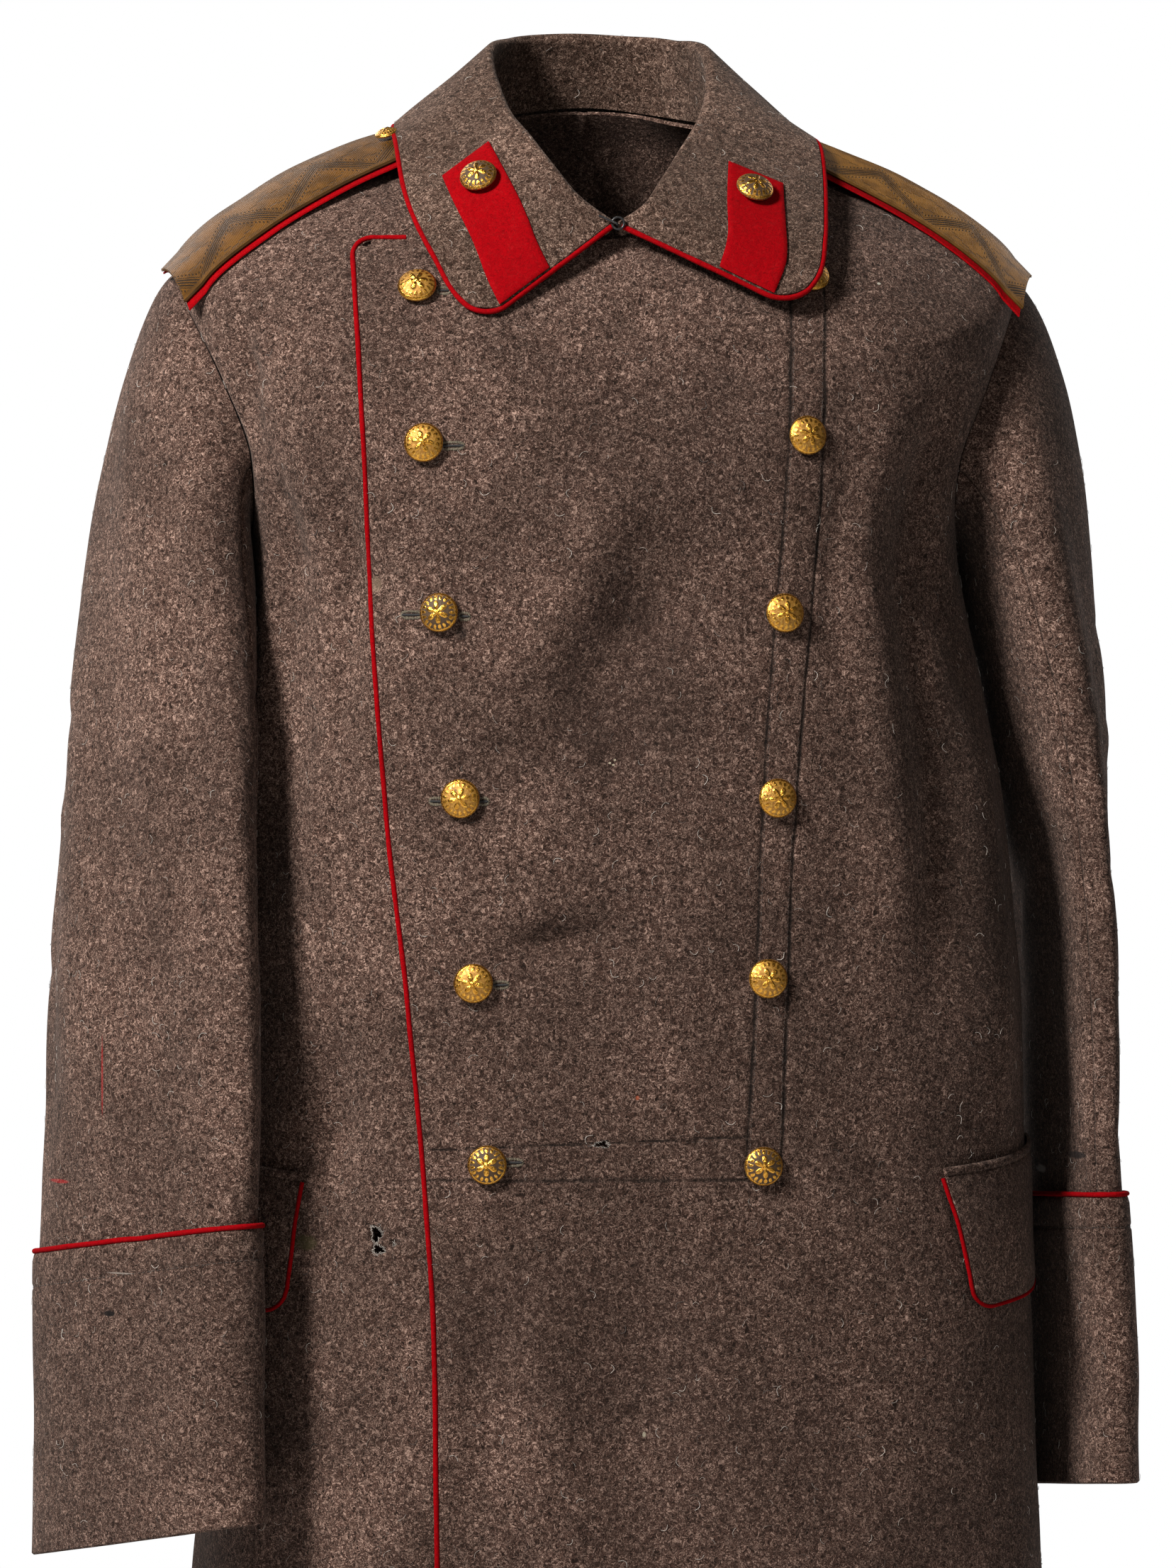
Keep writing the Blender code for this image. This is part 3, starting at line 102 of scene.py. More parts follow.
bodyColumns = (
    "sideZ", "frontZ", "backZ", "halfWidth", "front", "back", "square", "drop", "centreX", "centreY"
)
bodyRings = (
    (0.0, -0.075, 0.018, 0.078, 0.107, 0.068, 2.2, 1.7, 0.0, 0.01),
    (-0.013, -0.094, -0.001, 0.121, 0.117, 0.09, 2.2, 1.6, 0.0, 0.01),
    (-0.025, -0.113, -0.024, 0.163, 0.126, 0.105, 2.3, 1.5, 0.0, 0.009),
    (-0.045, -0.135, -0.052, 0.206, 0.134, 0.113, 2.4, 1.5, 0.0, 0.007),
    (-0.086, -0.168, -0.09, 0.246, 0.14, 0.117, 2.5, 1.6, 0.0, 0.004),
    (-0.135, -0.208, -0.138, 0.236, 0.144, 0.119, 2.5, 1.8, 0.0, 0.0),
    (-0.19, -0.248, -0.19, 0.217, 0.147, 0.119, 2.5, 2.0, 0.0, 0.0),
    (-0.245, -0.288, -0.245, 0.207, 0.149, 0.117, 2.5, 2.0, 0.003, 0.0),
    (-0.32, -0.34, -0.32, 0.215, 0.15, 0.113, 2.5, 2.0, 0.009, 0.0),
    (-0.41, -0.415, -0.41, 0.226, 0.15, 0.109, 2.5, 2.0, 0.013, 0.0),
    (-0.52, -0.52, -0.52, 0.234, 0.15, 0.112, 2.5, 2.0, 0.014, 0.0),
    (-0.64, -0.64, -0.64, 0.237, 0.152, 0.12, 2.5, 2.0, 0.014, 0.0),
    (-0.78, -0.78, -0.78, 0.2435, 0.155, 0.128, 2.4, 2.0, 0.014, 0.0),
    (-0.93, -0.93, -0.93, 0.253, 0.16, 0.136, 2.4, 2.0, 0.013, 0.0),
    (-1.09, -1.09, -1.09, 0.259, 0.166, 0.143, 2.3, 2.0, 0.013, 0.0),
    (-1.25, -1.25, -1.25, 0.266, 0.172, 0.15, 2.3, 2.0, 0.013, 0.0),
)
body = {
    "rings": table(bodyColumns, bodyRings),
    "places": np.arange(len(bodyRings), dtype=float),
    "tip": 4,
    "underarm": 7,
    "hem": len(bodyRings) - 1,
    "armholeFront": 26,
    "armholeBack": 22,
    "sideTurn": 15,
}

# the over-front's piped edge and the hidden underlap's edge, at each height
edgeColumns = ("z", "pipedX", "underlapX")
edgeRows = (
    (-0.06, -0.146, 0.098),
    (-0.12, -0.145, 0.098),
    (-0.2, -0.141, 0.096),
    (-0.3, -0.136, 0.09),
    (-0.4, -0.129, 0.084),
    (-0.5, -0.118, 0.078),
    (-0.6, -0.109, 0.076),
    (-0.7, -0.103, 0.078),
    (-0.85, -0.102, 0.08),
    (-1.25, -0.103, 0.08),
)
edges = table(edgeColumns, edgeRows)
overlap = {"topZ": -0.076, "corner": 0.01, "steps": 601, "liftStart": 0.12, "liftLength": 0.6, "topReach": 3.0}

# soft folds, from one place to another: troughs have a depth below 0
foldColumns = ("fromDeg", "fromZ", "toDeg", "toZ", "depth", "width")
foldRows = (
    (-58, -0.16, -55, -0.44, -0.009, 0.02),
    (-68, -0.2, -66, -0.55, 0.006, 0.018),
    (-46, -0.52, -44, -0.7, -0.006, 0.022),
    (12, -0.2, -26, -0.33, 0.004, 0.026),
    (16, -0.26, -24, -0.37, -0.004, 0.02),
    (-6, -0.33, -24, -0.42, -0.004, 0.016),
    (4, -0.47, -22, -0.48, -0.004, 0.014),
    (43, -0.13, 62, -0.36, -0.006, 0.022),
    (56, -0.3, 57, -0.62, 0.006, 0.024),
    (-24, -0.66, -20, -1.3, -0.01, 0.022),
    (-36, -0.7, -37, -1.3, 0.01, 0.024),
    (-60, -0.74, -62, -1.3, 0.012, 0.03),
    (-48, -0.72, -50, -1.3, -0.008, 0.02),
    (-10, -0.7, -8, -1.3, 0.008, 0.024),
    (3, -0.62, 8, -1.3, -0.012, 0.03),
    (24, -0.62, 20, -1.3, 0.01, 0.028),
    (38, -0.74, 37, -1.3, -0.009, 0.026),
    (58, -0.7, 58, -1.3, 0.01, 0.03),
    (80, -0.76, 82, -1.3, -0.008, 0.028),
    (-82, -0.72, -84, -1.3, -0.008, 0.026),
    (104, -0.8, 106, -1.3, 0.012, 0.032),
    (-104, -0.64, -107, -1.3, 0.012, 0.032),
    (128, -0.18, 122, -0.44, -0.007, 0.022),
    (-126, -0.18, -121, -0.42, -0.006, 0.022),
    (130, -0.5, 130, -1.3, -0.011, 0.026),
    (-131, -0.52, -133, -1.3, -0.011, 0.028),
    (150, -0.46, 151, -1.3, 0.012, 0.03),
    (-152, -0.48, -151, -1.3, 0.011, 0.03),
    (168, -0.42, 169, -1.3, -0.008, 0.024),
    (-169, -0.44, -170, -1.3, -0.008, 0.024),
    (154, -0.24, -158, -0.3, -0.004, 0.02),
)
# smaller creases that only the looks have
creaseRows = (
    (-41, -0.182, -49, -0.4, -0.008, 0.015),
    (-53, -0.197, -59, -0.382, 0.003, 0.013),
    (-44, -0.502, -44, -0.622, -0.007, 0.014),
    (-58, -0.148, -60, -0.196, -0.0035, 0.008),
    (-62, -0.127, -48, -0.165, -0.003, 0.009),
    (-52, -0.104, -58, -0.19, -0.0065, 0.01),
    (8, -0.222, -5, -0.322, -0.0055, 0.019),
    (2, -0.198, -11, -0.302, 0.004, 0.018),
    (2, -0.231, -27, -0.302, -0.0025, 0.011),
    (-24, -0.476, -3, -0.468, -0.003, 0.008),
    (-27, -0.373, -15, -0.362, -0.003, 0.009),
    (-26, -0.461, -11, -0.455, 0.0022, 0.009),
    (-27, -0.354, -15, -0.342, 0.0024, 0.01),
    (-27, -0.304, -14, -0.294, -0.0022, 0.009),
    (38, -0.139, 35, -0.542, 0.005, 0.012),
    (49, -0.162, 42, -0.563, -0.0085, 0.018),
    (33, -0.148, 30, -0.502, -0.003, 0.014),
    (-1, -0.27, -3, -0.429, -0.006, 0.034),
    (-13, -0.263, -14, -0.441, 0.0045, 0.026),
    (-21, -0.64, -20, -0.818, -0.006, 0.019),
    (-28, -0.64, -27, -0.818, 0.003, 0.015),
    (-16, -0.64, -15, -0.818, 0.003, 0.015),
    (-5, -0.64, -1, -0.9, -0.0065, 0.024),
    (12, -0.158, 22, -0.133, -0.0045, 0.015),
    (1, -0.109, 8, -0.15, -0.004, 0.015),
    (8, -0.628, 14, -0.85, 0.0055, 0.022),
    (7, -0.421, 4, -0.565, 0.0035, 0.02),
    (28, -0.629, 25, -0.86, -0.0055, 0.02),
    (-3, -0.462, -21, -0.474, -0.0022, 0.007),
    (-2, -0.446, -19, -0.452, 0.0012, 0.009),
    (14, -0.215, 2, -0.33, -0.0024, 0.013),
    (-8, -0.345, -25, -0.352, 0.0014, 0.009),
    (-12, -0.3, -28, -0.318, -0.0016, 0.008),
    (-9, -0.372, -22, -0.386, -0.0016, 0.008),
    (-30, -0.13, -22, -0.175, -0.0012, 0.008),
    (-28, -0.215, -6, -0.24, 0.0013, 0.01),
    (36, -0.15, 20, -0.21, -0.0014, 0.01),
    (40, -0.25, 34, -0.4, 0.0014, 0.012),
    (47, -0.33, 44, -0.48, -0.0016, 0.011),
    (-50, -0.3, -47, -0.47, 0.0014, 0.01),
    (-62, -0.26, -60, -0.42, -0.0018, 0.009),
    (-72, -0.3, -56, -0.345, -0.002, 0.009),
    (-74, -0.35, -58, -0.372, 0.0016, 0.009),
    (70, -0.29, 52, -0.33, -0.0018, 0.009),
    (72, -0.34, 55, -0.385, 0.0014, 0.01),
    (-44, -0.555, -52, -0.615, -0.0018, 0.009),
    (30, -0.64, 12, -0.7, -0.0014, 0.01),
    (-6, -0.64, -22, -0.665, -0.0012, 0.009),
    (112, -0.29, 132, -0.33, -0.002, 0.01),
    (116, -0.345, 134, -0.37, 0.0015, 0.01),
    (-112, -0.29, -134, -0.335, -0.002, 0.01),
    (-118, -0.35, -138, -0.372, 0.0015, 0.01),
    (140, -0.13, 168, -0.15, -0.0014, 0.012),
    (-138, -0.12, -166, -0.155, -0.0015, 0.012),
    (148, -0.4, 172, -0.43, -0.0016, 0.011),
    (-146, -0.42, -170, -0.455, -0.0016, 0.011),
)
folds = table(foldColumns, foldRows)
creases = table(foldColumns, creaseRows)
foldShape = {"degreeWidth": 0.0038, "fade": 0.35, "hemFade": 0.75}


def bodyBase(row, angle):
    row, angle = np.broadcast_arrays(np.asarray(row, float), np.asarray(angle, float))
    ring = {name: smooth(body["places"], values, row) for name, values in body["rings"].items()}
    sine, cosine = np.sin(angle), np.cos(angle)
    reach = (np.abs(sine) ** ring["square"] + np.abs(cosine) ** ring["square"]) ** (-1 / ring["square"])
    inFront = cosine > 0
    x = ring["centreX"] + ring["halfWidth"] * reach * sine
    y = ring["centreY"] - np.where(inFront, ring["front"], ring["back"]) * reach * cosine
    farZ = np.where(inFront, ring["frontZ"], ring["backZ"])
    z = ring["sideZ"] + (farZ - ring["sideZ"]) * np.abs(cosine) ** ring["drop"]
    return np.stack([x, y, z], axis=-1)


def foldHeight(angle, z, rows):
    degrees = np.degrees(angle)
    total = np.zeros(np.shape(z))
    degreeWidth = foldShape["degreeWidth"]
    for i in range(len(rows["depth"])):
        fold = {name: values[i] for name, values in rows.items()}
        wholeTurn = (fold["toDeg"] - fold["fromDeg"] + 180) % 360 - 180
        run = np.array([wholeTurn * degreeWidth, fold["toZ"] - fold["fromZ"]])
        turn = (degrees - fold["fromDeg"] + 180) % 360 - 180
        away = np.stack([turn * degreeWidth, z - fold["fromZ"]], axis=-1)
        along = away @ run / (run @ run)
        across = (away[..., 0] * run[1] - away[..., 1] * run[0]) / np.hypot(*run)
        swell = ease(along / foldShape["fade"]) * ease((1.0 - along) / foldShape["fade"])
        if fold["toZ"] < cloth["hemZ"]:
            swell = ease(along / foldShape["hemFade"])
        total += fold["depth"] * swell * bell(across, fold["width"])
    return total


# slow unevenness of thick worn wool, the same everywhere it is asked for
unevenWaves = (
    (31, 17, 9, 0.4, 0.00042),
    (-19, 26, 37, 1.9, 0.00036),
    (57, -31, 23, 3.1, 0.00028),
    (-44, 63, -58, 5.2, 0.00022),
    (88, 51, 74, 0.9, 0.00016),
    (-103, 86, 97, 2.7, 0.00013),
    (141, -120, 66, 4.4, 0.0001),
)


def uneven(points):
    total = np.zeros(points.shape[:-1])
    for byX, byY, byZ, phase, height in unevenWaves:
        total += height * np.sin(points @ np.array([byX, byY, byZ], float) + phase)
    return total


def surface(baseOf, rows, angles, lift, step=1e-3):
    points = baseOf(rows, angles)
    down = baseOf(rows + step, angles) - baseOf(rows - step, angles)
    across = baseOf(rows, angles + step) - baseOf(rows, angles - step)
    normals = unit(np.cross(down, across))
    return points + normals * np.asarray(lift)[..., None], normals


def bodyFolded(rows, angles):
    base, normals = surface(bodyBase, rows, angles, np.zeros(np.shape(angles)))
    z = base[..., 2]
    height = foldHeight(angles, z, folds) + foldHeight(angles, z, creases) + uneven(base)
    return base + normals * height[..., None]


def bodyPlace(rows, angles, lift):
    rows, angles, lift = np.broadcast_arrays(*(np.asarray(v, float) for v in (rows, angles, lift)))
    return surface(bodyFolded, rows, angles, lift)


def angleAtX(rows, x):
    low = np.full(np.shape(rows), math.radians(-89.0))
    return halve(lambda angle: bodyBase(rows, angle)[..., 0] <= x, low, -low)


# rows and angles whose points have the target's coordinates on two axes
def placeAt(axes, target, first):
    at = np.array(first, float)
    step = 1e-4
    for _ in range(12):
        here = bodyBase(at[..., 0], at[..., 1])[..., axes]
        byRow = (bodyBase(at[..., 0] + step, at[..., 1])[..., axes] - here) / step
        byAngle = (bodyBase(at[..., 0], at[..., 1] + step)[..., axes] - here) / step
        slopes = np.stack([byRow, byAngle], axis=-1)
        move = np.linalg.solve(slopes, (target - here)[..., None])[..., 0]
        at = at + np.clip(move, (-1.0, -0.2), (1.0, 0.2))
    return at[..., 0], at[..., 1]


def placeOnFront(x, z):
    x, z = np.broadcast_arrays(np.asarray(x, float), np.asarray(z, float))
    row = np.interp(-z, -body["rings"]["frontZ"], body["places"])
    first = np.stack([row, np.arcsin(np.clip(x / 0.25, -0.9, 0.9))], axis=-1)
    return placeAt([0, 2], np.stack([x, z], axis=-1), first)


def placeOnShoulder(x, y):
    widths = body["rings"]["halfWidth"][: body["tip"] + 1]
    row = np.interp(np.abs(x), widths, np.arange(len(widths)))
    first = np.stack([row, np.sign(x) * (math.pi / 2 + y / body["rings"]["front"][0])], axis=-1)
    return placeAt([0, 1], np.stack([x, y], axis=-1), first)


def rowAtZ(angle, z):
    hem = np.full(np.shape(angle), float(body["hem"]))
    return halve(lambda row: bodyBase(row, angle)[..., 2] > z, np.zeros(np.shape(angle)), hem)


def edgeLine(column):
    rows = np.linspace(0, body["hem"], overlap["steps"])
    x = np.full(rows.shape, edges[column][0])
    for _ in range(4):
        angle = angleAtX(rows, x)
        z = bodyBase(rows, angle)[..., 2]
        x = smooth(-edges["z"], edges[column], -z)
        if column == "pipedX":
            corner = overlap["corner"]
            left = np.clip(corner - (overlap["topZ"] - z), 0, corner)
            x = x + corner - np.sqrt(corner**2 - left**2)
    return angle


edgeLines = [edgeLine("pipedX"), edgeLine("underlapX")]


def edgeAngles(rows):
    places = np.linspace(0, body["hem"], overlap["steps"])
    return [np.interp(rows, places, line) for line in edgeLines]


def sideAngle(rows, front):
    hole = (rows - body["tip"]) / (body["underarm"] - body["tip"])
    inside = (hole > 0) & (hole < 1)
    bite = 2 * np.sqrt(np.where(inside, hole * (1 - hole), 0.0))
    turn = body["sideTurn"] * ease((rows - body["underarm"]) / 2.5)
    cut = -body["armholeFront"] * bite if front else body["armholeBack"] * bite
    return np.radians(90 + cut + turn)


# how far the over-front lies off the body: over the underlap, then easing down to the side
def overLift(rows, angles):
    _, underlap = edgeAngles(rows)
    past = (angles - underlap) / (sideAngle(rows, True) - underlap)
    down = ease((past - overlap["liftStart"]) / overlap["liftLength"])
    return (cloth["body"] + cloth["layerGap"]) * (1 - down)


def seamNudge(rows, angles, sign):
    width = np.linalg.norm(bodyBase(rows, angles + 1e-3) - bodyBase(rows, angles), axis=-1) / 1e-3
    return angles + sign * cloth["seamLap"] / width


print("cut worked out")

# the sleeves' cut: one row for each level, from under the sleeve head to the cuff's hem

sleeveColumns = ("z", "out", "fore", "long", "short", "turn", "rise")
sleeveRight = (
    (-0.275, 0.252, 0.01, 0.087, 0.0345, 22, 0.0),
    (-0.34, 0.2562, 0.034, 0.086, 0.0305, 31, 0.0),
    (-0.42, 0.2598, 0.056, 0.085, 0.028, 36, 0.002),
    (-0.5, 0.2618, 0.07, 0.085, 0.027, 40, 0.005),
    (-0.58, 0.2625, 0.078, 0.084, 0.026, 42, 0.008),
    (-0.66, 0.264, 0.082, 0.083, 0.026, 43, 0.012),
    (-0.74, 0.264, 0.084, 0.083, 0.026, 43, 0.014),
    (-0.812, 0.264, 0.084, 0.084, 0.026, 43, 0.015),
)
sleeveLeft = (
    (-0.275, 0.2585, 0.0, 0.088, 0.034, 2, 0.0),
    (-0.34, 0.2685, -0.003, 0.087, 0.029, -2, 0.0),
    (-0.42, 0.274, -0.005, 0.087, 0.024, -5, 0.0),
    (-0.5, 0.2765, -0.005, 0.086, 0.021, -7, 0.001),
    (-0.58, 0.2765, -0.004, 0.086, 0.0185, -8, 0.003),
    (-0.66, 0.2805, -0.002, 0.086, 0.018, -8, 0.006),
    (-0.74, 0.2845, 0.0, 0.085, 0.018, -8, 0.008),
    (-0.795, 0.284, 0.0, 0.086, 0.018, -8, 0.009),
)
sleeve = {
    "levels": {-1: table(sleeveColumns, sleeveRight), 1: table(sleeveColumns, sleeveLeft)},
    "square": 2.2,
    "seams": (112.5, 247.5),
    "headGap": -0.001,
    "lean": 0.2,
    "drop": 0.6,
    "fullness": (0.3, 0.25),
    "cuffHeight": 0.168,
    "cuffTurn": 0.012,
}
# soft folds and creases round a sleeve, in degrees from its outer side over the front
sleeveFoldColumns = ("deg", "topZ", "bottomZ", "depth", "width")
sleeveFoldRows = (
    (48, -0.14, -0.5, -0.005, 18),
    (78, -0.3, -0.66, 0.004, 16),
    (20, -0.4, -0.78, -0.004, 20),
    (335, -0.16, -0.6, 0.004, 18),
    (300, -0.24, -0.66, -0.005, 18),
    (268, -0.36, -0.7, 0.004, 16),
    (152, -0.34, -0.66, -0.004, 20),
    (208, -0.36, -0.7, -0.004, 20),
)
sleeveFolds = table(sleeveFoldColumns, sleeveFoldRows)
# short slanting creases of the looks: how far each turns round the sleeve on its way down
sleeveCreaseColumns = ("deg", "turn", "topZ", "bottomZ", "depth", "width")
sleeveCreaseRows = (
    (30, 55, -0.3, -0.35, -0.0018, 9),
    (15, 60, -0.35, -0.395, 0.0013, 9),
    (70, -45, -0.43, -0.48, -0.0015, 8),
    (10, 50, -0.52, -0.585, -0.0014, 9),
    (300, 60, -0.33, -0.38, -0.0018, 10),
    (285, 55, -0.4, -0.45, 0.0014, 10),
    (240, 50, -0.45, -0.5, -0.0018, 10),
    (120, 55, -0.33, -0.39, -0.0016, 10),
    (170, 40, -0.42, -0.48, -0.0016, 10),
    (330, 45, -0.6, -0.65, -0.0012, 9),
    (178, 0, -0.235, -0.385, 0.008, 42),
)
sleeveCreases = table(sleeveCreaseColumns, sleeveCreaseRows)


def sleeveRing(side, z, turnRound):
    levels = sleeve["levels"][side]
    at = {name: smooth(-levels["z"], levels[name], -z) for name in sleeveColumns[1:]}
    sine, cosine = np.sin(turnRound), np.cos(turnRound)
    square = sleeve["square"]
    reach = (np.abs(sine) ** square + np.abs(cosine) ** square) ** (-1 / square)
    crest = np.zeros(np.shape(z))
    degrees = np.degrees(turnRound)
    for i in range(len(sleeveFolds["deg"])):
        fold = {name: values[i] for name, values in sleeveFolds.items()}
        off = (degrees - fold["deg"] + 180) % 360 - 180
        along = (fold["topZ"] - z) / (fold["topZ"] - fold["bottomZ"])
        swell = ease(along / 0.3) * ease((1 - along) / 0.3)
        crest = crest + fold["depth"] * swell * bell(off, fold["width"])
    for i in range(len(sleeveCreases["deg"])):
        crease = {name: values[i] for name, values in sleeveCreases.items()}
        along = (crease["topZ"] - z) / (crease["topZ"] - crease["bottomZ"])
        off = (degrees - crease["deg"] - crease["turn"] * along + 180) % 360 - 180
        swell = ease((along + 0.5) / 0.6) * ease((1.5 - along) / 0.6)
        crest = crest + crease["depth"] * swell * bell(off, crease["width"])
    longWay = (at["long"] + crest) * reach * sine
    shortWay = (at["short"] + crest) * reach * cosine
    turn = np.radians(at["turn"])
    out = at["out"] + shortWay * np.cos(turn) - longWay * np.sin(turn)
    fore = at["fore"] + shortWay * np.sin(turn) + longWay * np.cos(turn)
    rise = at["rise"] * longWay / at["long"]
    return np.stack([side * out, -fore, z + rise], axis=-1)


# the armhole's seam line: 0 is the shoulder's tip, 90 degrees the front and 180 the underarm
def armholePoint(side, turnRound):
    row = body["tip"] + (body["underarm"] - body["tip"]) * (1 - np.cos(turnRound)) / 2
    sine = np.sin(turnRound)
    degrees = 90 - np.where(sine > 0, body["armholeFront"], body["armholeBack"]) * sine
    angle = side * np.radians(degrees)
    lift = overLift(row, np.abs(angle)) if side > 0 else 0.0
    points, _ = bodyPlace(row, angle, np.where(sine > 0, lift, 0.0))
    return points


# levels 0 to 1 are the sleeve head, 1 to 2 the rest
def sleeveBase(side):
    levels = sleeve["levels"][side]["z"]
    fullness = sleeve["fullness"]
    turns = np.linspace(-2 * math.pi, 4 * math.pi, 1441)
    starts = armholePoint(side, turns)

    def base(level, turnRound):
        head = np.clip(level, 0.0, 1.0)
        first = sleeveRing(side, np.full(np.shape(turnRound), levels[0]), turnRound)
        lean = sleeve["lean"] * np.sin(turnRound)
        leave = unit(np.stack([side + 0.0 * lean, -lean, -sleeve["drop"] + 0.0 * lean], axis=-1))
        seam = np.stack([np.interp(turnRound, turns, starts[:, k]) for k in range(3)], axis=-1)
        start = seam + leave * sleeve["headGap"]
        span = np.linalg.norm(first - start, axis=-1)[..., None]
        arrive = unit(sleeveRing(side, np.full(np.shape(turnRound), levels[0] - 0.01), turnRound) - first)
        f = head[..., None]
        reach = fullness[0] + fullness[1] * np.cos(turnRound / 2)[..., None] ** 2
        point = curveBetween(f, start, leave * span * reach, first, arrive * span)
        z = levels[0] + (levels[-1] - levels[0]) * np.clip(level - 1, 0.0, 1.1)
        below = sleeveRing(side, z, turnRound)
        return np.where((level > 1)[..., None], below, point)

    return base


sleeveBases = {side: sleeveBase(side) for side in (-1, 1)}


def sleeveUneven(side):
    base = sleeveBases[side]

    def uneventful(level, turnRound):
        points = base(level, turnRound)
        _, normals = surface(base, np.maximum(level, 0.0015), turnRound, np.zeros(np.shape(turnRound)))
        quiet = ease(level / 0.4)[..., None]
        return points - side * normals * (0.8 * uneven(points))[..., None] * quiet

    return uneventful


sleeveSurfaces = {side: sleeveUneven(side) for side in (-1, 1)}


def sleeveLevel(side, z):
    levels = sleeve["levels"][side]["z"]
    return 1 + (z - levels[0]) / (levels[-1] - levels[0])


def sleevePlace(side, levels, turns, lift):
    levels, turns, lift = np.broadcast_arrays(*(np.asarray(v, float) for v in (levels, turns, lift)))
    points, normals = surface(sleeveSurfaces[side], levels, turns, -side * lift)
    return points, -side * normals


# the collar's cut, from the wearer's right front round the back to the left front

collarColumns = ("seamDeg", "rollX", "rollY", "rollZ", "edgeX", "edgeY", "edgeZ")
collarStations = (
    (-3, -0.003, -0.1105, -0.066, -0.0753, -0.1275, -0.1215),
    (-20, -0.0195, -0.1045, -0.052, -0.09, -0.118, -0.1065),
    (-34, -0.0324, -0.091, -0.0342, -0.101, -0.104, -0.0845),
    (-46, -0.0448, -0.071, -0.0143, -0.11, -0.086, -0.0635),
    (-58, -0.0545, -0.048, 0.0015, -0.115, -0.065, -0.044),
    (-74, -0.06, -0.021, 0.0225, -0.118, -0.037, -0.015),
    (-96, -0.0615, 0.01, 0.045, -0.1168, 0.008, 0.001),
    (-138, -0.046, 0.043, 0.056, -0.098, 0.076, 0.006),
    (180, 0.0, 0.056, 0.06, 0.0, 0.108, 0.002),
    (138, 0.049, 0.043, 0.056, 0.101, 0.076, 0.006),
    (96, 0.0665, 0.01, 0.045, 0.122, 0.008, -0.001),
    (74, 0.0645, -0.02, 0.02, 0.1255, -0.034, -0.0115),
    (58, 0.0558, -0.046, -0.0005, 0.1245, -0.061, -0.0326),
    (46, 0.042, -0.069, -0.0205, 0.122, -0.085, -0.0527),
    (34, 0.03, -0.089, -0.0382, 0.119, -0.105, -0.0724),
    (20, 0.0182, -0.1045, -0.055, 0.113, -0.1215, -0.095),
    (3, 0.0045, -0.1105, -0.066, 0.0985, -0.13, -0.112),
)
collarShape = {"rollRadius": 0.0022, "seamRise": 0.0038, "standEnd": 0.3, "fallStart": 0.4,
               "tipAlong": 0.02, "tipAcross": 0.09}


def collarLines():
    stations = table(collarColumns, collarStations)
    roll = np.stack([stations["roll" + axis] for axis in "XYZ"], axis=1)
    edge = np.stack([stations["edge" + axis] for axis in "XYZ"], axis=1)
    degrees = stations["seamDeg"]
    pastOverlap = (cloth["body"] + cloth["layerGap"]) * (1 - ease((-degrees - 8) / 20))
    onFront = np.where(degrees > 0, overLift(0.0 * degrees, np.radians(degrees)), pastOverlap)
    seam, _ = bodyPlace(0.0, np.radians(degrees), onFront - cloth["collar"] / 2)
    seam[:, 2] += collarShape["seamRise"]
    places = np.concatenate([[0.0], np.cumsum(np.linalg.norm(np.diff(edge, axis=0), axis=1))])
    return (seam, roll, edge), places / places[-1]


collarThree, collarPlaces = collarLines()


def collarLine(points, along):
    slopes = np.gradient(points, collarPlaces, axis=0)
    i = np.clip(np.searchsorted(collarPlaces, along, side="right") - 1, 0, len(collarPlaces) - 2)
    step = (collarPlaces[i + 1] - collarPlaces[i])[..., None]
    f = (along - collarPlaces[i])[..., None] / step
    return curveBetween(f, points[i], slopes[i] * step, points[i + 1], slopes[i + 1] * step)


# a stand up to the roll, an arc over it and a fall down to the free edge
def collarBase(along, across):
    seam, roll, edge = (collarLine(points, along) for points in collarThree)
    standEnd, fallStart = collarShape["standEnd"], collarShape["fallStart"]
    across = across[..., None]
    up, fall = unit(roll - seam), unit(edge - roll)
    out = unit(fall - up * dot(fall, up))
    lastTurn = math.pi - np.arccos(np.clip(-dot(up, fall), -1, 1))

    def arc(turn):
        return roll + collarShape["rollRadius"] * (up * (np.sin(turn) - 1) - out * np.cos(turn))

    over = np.clip((across - standEnd) / (fallStart - standEnd), 0, 1)
    stand = seam + (arc(0.0 * lastTurn) - seam) * across / standEnd
    down = (across - fallStart) / (1 - fallStart)
    fallen = arc(lastTurn) + (edge - arc(lastTurn)) * down
    return np.where(across < standEnd, stand, np.where(across > fallStart, fallen, arc(lastTurn * over)))


# small waves of the collar's fall: place round it and across it, how wide and how high
collarWaves = (
    (0.06, 0.7, 0.02, 0.18, -0.0008),
    (0.13, 0.85, 0.018, 0.25, 0.0009),
    (0.19, 0.62, 0.015, 0.2, -0.0008),
    (0.27, 0.9, 0.02, 0.22, 0.0012),
    (0.36, 0.75, 0.022, 0.25, -0.001),
    (0.47, 0.8, 0.03, 0.25, 0.001),
    (0.58, 0.85, 0.022, 0.22, -0.001),
    (0.68, 0.6, 0.018, 0.2, 0.001),
    (0.76, 0.86, 0.018, 0.22, -0.0009),
    (0.83, 0.66, 0.016, 0.2, 0.0009),
    (0.91, 0.85, 0.02, 0.2, -0.0009),
)


def collarWaved(along, across):
    points, normals = surface(collarBase, along, across, 0.0 * along)
    height = 0.6 * uneven(points)
    for place, down, wide, deep, rise in collarWaves:
        height = height + rise * bell(along - place, wide) * bell(across - down, deep)
    return points + normals * height[..., None]


def collarPlace(along, across, lift):
    along, across, lift = np.broadcast_arrays(*(np.asarray(v, float) for v in (along, across, lift)))
    return surface(collarWaved, along, across, lift)


